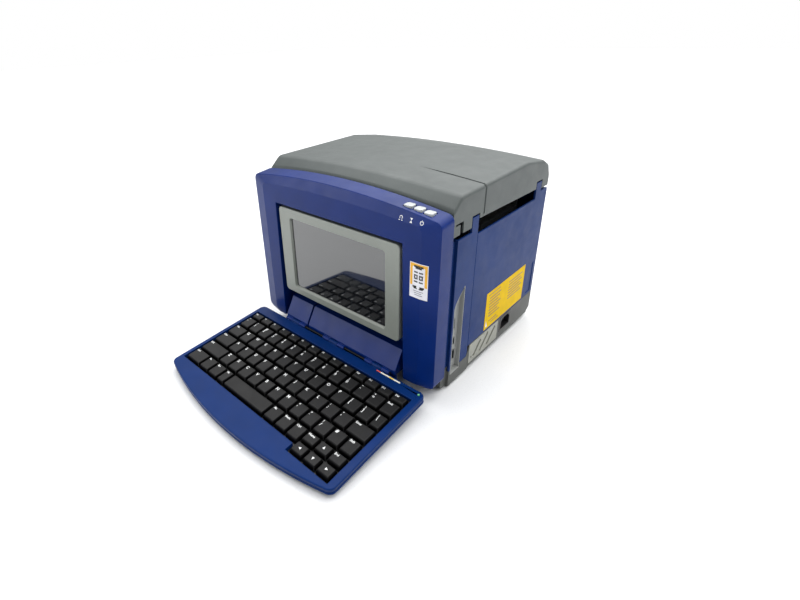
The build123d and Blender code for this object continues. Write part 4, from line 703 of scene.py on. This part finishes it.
def crowns(node):
    """Top face of each key of a row: (left, right, low, high, height) along the keyboard's axes."""
    shape = bmesh.new()
    shape.from_mesh(NODES[node].data)
    bmesh.ops.remove_doubles(shape, verts=shape.verts, dist=MERGE_DISTANCE)
    left_over = set(shape.verts)
    found = []
    while left_over:
        stack = [left_over.pop()]
        island = []
        while stack:
            vert = stack.pop()
            island.append(vert.co.copy())
            for edge in vert.link_edges:
                other = edge.other_vert(vert)
                if other in left_over:
                    left_over.remove(other)
                    stack.append(other)
        height = max(p.dot(KEY_NORMAL) for p in island)
        top = [p for p in island if p.dot(KEY_NORMAL) > height - CROWN_DEPTH]
        across = [p.x for p in top]
        along = [p.dot(KEY_UP) for p in top]
        found.append((min(across), max(across), min(along), max(along), height))
    shape.free()
    if node == "arrow_keys":  # two rows of them, the upper one first
        return sorted(found, key=lambda c: (-round(c[3], 3), c[0]))
    return sorted(found)


def key_faces(node):
    """Flat faces of a row's legends and the height they lie at."""
    faces = []
    tops = crowns(node)
    seconds = SECOND_LEGENDS.get(node, [""] * len(tops))
    keys = zip(LEGENDS[node], seconds, tops, strict=True)
    for word, second, (left, right, low, high, _) in keys:
        if word in ARROWS:
            centre = ((left + right) / 2, (low + high) / 2)
            turn = math.radians(ARROWS[word])
            faces.append([on_circle(centre, ARROW_REACH, turn + angle) for angle in ARROW_CORNERS])
            continue
        if not word:
            continue
        size = LETTER_SIZE if len(word) == 1 else WORD_SIZE
        if node == "function_keys":
            size = FUNCTION_SIZE
        margin = UNDER_SECOND if second else LEGEND_TOP
        faces += text_faces(word, size, (left + LEGEND_LEFT, high - margin))
        if second:
            faces += text_faces(second, SECOND_SIZE, (left + LEGEND_LEFT, high - SECOND_TOP))
    return faces, tops[0][4]


def make_key_row(node):
    """A row's rounded keys and their printed legends."""
    faces, height = key_faces(node)

    def on_crown(first, second):
        """True for edges round a key's crown; those of its stem stay clear of the plate."""
        return max(first.dot(KEY_NORMAL), second.dot(KEY_NORMAL)) > height - CROWN_DEPTH

    def place(u, v):
        return Vector((u, 0, 0)) + KEY_UP * v + KEY_NORMAL * (height + LEGEND_LIFT)

    soften(node, None, flat=True, wide=(KEY_ROUND, on_crown))
    if faces:
        thin_print(f"{node}_legends", faces, place, body_of(node), "legend_white", LEGEND_THICKNESS)


# ---------------------------------------------------------------- front
ICON_ROW = 218.0 * MM  # height of the symbols' middles above the ground
ICON_SHIFT = -1.2 * MM  # they stand a little to the left of their buttons


def around(x, faces):
    """Faces given in millimetres round an icon's middle, moved to their place on the bezel."""
    return [[(x + u * MM, ICON_ROW + v * MM) for u, v in face] for face in faces]


def make_icons():
    """Pale symbols on the bezel's chamfer below the three buttons."""
    arch = arc_band((0, 0.7), 1.2, 1.85, -50, 230)
    feet = bar(-2.4, -2.2, -0.7, -1.55) + bar(0.7, -2.2, 2.4, -1.55)
    blades = [[(-1.6, 2.3), (0, 0.1), (1.6, 2.3)], [(-1.6, -2.2), (1.6, -2.2), (0, -0.05)]]
    ring = arc_band((0, 0), 1.45, 2.1, 118, 422) + bar(-0.32, 0.3, 0.32, 2.5)
    symbols = {"feed_button": arch + feet, "cut_button": blades, "power_button": ring}
    faces = []
    for node, symbol in symbols.items():
        faces += around(middle(node).x + ICON_SHIFT, symbol)
    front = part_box("front_bezel")[0].y

    def spot(u, v):
        return Vector((u, front, v))

    place = onto("front_bezel", (0, 1, 0), spot)
    thin_print("function_icons", faces, place, body_of("front_bezel"), "legend_white")


FACE_MARGIN = 19.8 * MM  # width of the bezel's sloped border at each side
CODE_CELLS = 7


def make_front_sticker():
    """Generic printed sticker: gold border, black heading and code block, grey lines."""
    low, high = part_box("front_sticker")
    width = high.x - low.x
    height = high.z - low.z
    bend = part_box("front_bezel")[1].x - FACE_MARGIN

    def at(u0, v0, u1, v1):
        """A bar given in shares of the sticker's size, split where the bezel bends."""
        left, right = low.x + width * u0, low.x + width * u1
        return bar(left, low.z + height * v0, right, low.z + height * v1, (bend,))

    def spot(u, v):
        return Vector((u, low.y, v))

    place = onto("front_sticker", (0, 1, 0), spot)
    body = body_of("front_sticker")
    gold = at(0.03, 0.36, 0.16, 0.985) + at(0.84, 0.36, 0.97, 0.985) + at(0.16, 0.90, 0.84, 0.985)
    thin_print("sticker_border", gold, place, body, "ink_gold")
    dark = at(0.24, 0.885, 0.76, 0.94) + at(0.32, 0.845, 0.68, 0.885)
    dark += at(0.18, 0.30, 0.40, 0.355) + at(0.24, 0.27, 0.44, 0.30)
    dark += at(0.58, 0.30, 0.82, 0.355) + at(0.54, 0.27, 0.76, 0.30)
    thin_print("sticker_heading", dark, place, body, "ink_black")
    code = []
    for row in range(CODE_CELLS):
        for column in range(CODE_CELLS):
            if (row * 5 + column * 3 + row * column) % 4 != 1:
                u, v = 0.25 + column * 0.072, 0.46 + row * 0.045
                code += at(u, v, u + 0.066, v + 0.041)
    thin_print("sticker_code", code, place, body, "ink_black")
    lines = []
    for row, (start, stop) in enumerate(((0.22, 0.78), (0.26, 0.70), (0.30, 0.74))):
        lines += at(start, 0.20 - row * 0.055, stop, 0.218 - row * 0.055)
    thin_print("sticker_lines", lines, place, body, "ink_grey")


def make_side_label():
    """Faint amber rows, a heading line and a small white corner on the yellow label."""
    low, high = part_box("side_label")
    width = high.y - low.y
    height = high.z - low.z

    def share(u, v):
        """A point given in shares of the label's size."""
        return (low.y + width * u, low.z + height * v)

    def at(u0, v0, u1, v1):
        return bar(*share(u0, v0), *share(u1, v1))

    def spot(u, v):
        return Vector((high.x, u, v))

    place = onto("side_label", (-1, 0, 0), spot)
    body = body_of("side_label")
    amber = at(0.05, 0.905, 0.34, 0.93)
    for row in range(7):
        amber += at(0.08, 0.80 - row * 0.082, 0.36 - 0.03 * (row % 3), 0.835 - row * 0.082)
        amber += at(0.56, 0.83 - row * 0.078, 0.93 - 0.05 * (row % 2), 0.862 - row * 0.078)
    amber += at(0.10, 0.16, 0.30, 0.19) + at(0.16, 0.09, 0.34, 0.115)
    thin_print("label_rows", amber, place, body, "ink_amber")
    corner = [share(0.035, 0.06), share(0.075, 0.06), share(0.035, 0.24)]
    thin_print("label_corner", [corner], place, body, "sticker_white")


# ---------------------------------------------------------------- lid and bezel
CHAMFER_ANGLE = 9.0  # degrees; the bezel's sloped borders meet its face at a slight angle
LID_ROUND = 4.0 * MM
NEAR = 0.3 * MM  # how close to a lid's side, front or shoulder an edge has to be
LID_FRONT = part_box("lid_shell")[0].y
LID_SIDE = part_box("lid_shell")[1].x - NEAR
LID_TOP_START = 214.0 * MM  # heights are above the ground
LID_FRONT_TOP = 223.5 * MM
LID_SHOULDER = LID_FRONT + 15.4 * MM  # where the top slopes down to the front
LID_SHOULDER_TOP = 236.5 * MM


def lid_rim(first, second):
    """True for edges at the lid's sides, over its front wall and at its shoulder."""
    lower = min(first.z, second.z)
    side = lower > LID_TOP_START and min(abs(first.x), abs(second.x)) > LID_SIDE
    front = lower > LID_FRONT_TOP and max(first.y, second.y) < LID_FRONT + NEAR
    from_shoulder = max(abs(end.y - LID_SHOULDER) for end in (first, second))
    shoulder = lower > LID_SHOULDER_TOP and from_shoulder < NEAR
    return side or front or shoulder


# ---------------------------------------------------------------- build everything
CASE_ROUND = 0.45 * MM
CASE_NODES = ("hinge_cover_left", "hinge_cover_right", "right_cover", "left_cover", "rear_cover",
              "port_column", "base_tray", "display_frame")
SOCKET_ROUND = 0.25 * MM
SOCKET_NODES = ("port_panel", "vent_grille", "power_inlet")
TRAY_ROUND = 0.5 * MM
TRAY_NODES = ("keyboard_top", "keyboard_bottom", "keyboard_feet")

make_camera()
MATERIALS = make_materials()
make_studio()
dress_cad_nodes()
for case_node in CASE_NODES:
    soften(case_node, CASE_ROUND)
soften("front_bezel", CASE_ROUND, crease=CHAMFER_ANGLE)
for socket_node in SOCKET_NODES:
    soften(socket_node, SOCKET_ROUND)
soften("lid_shell", CASE_ROUND, flat=True, wide=(LID_ROUND, lid_rim))
for key_node in LEGENDS:
    make_key_row(key_node)
for tray_node in TRAY_NODES:
    soften(tray_node, TRAY_ROUND)
make_icons()
make_front_sticker()
make_side_label()
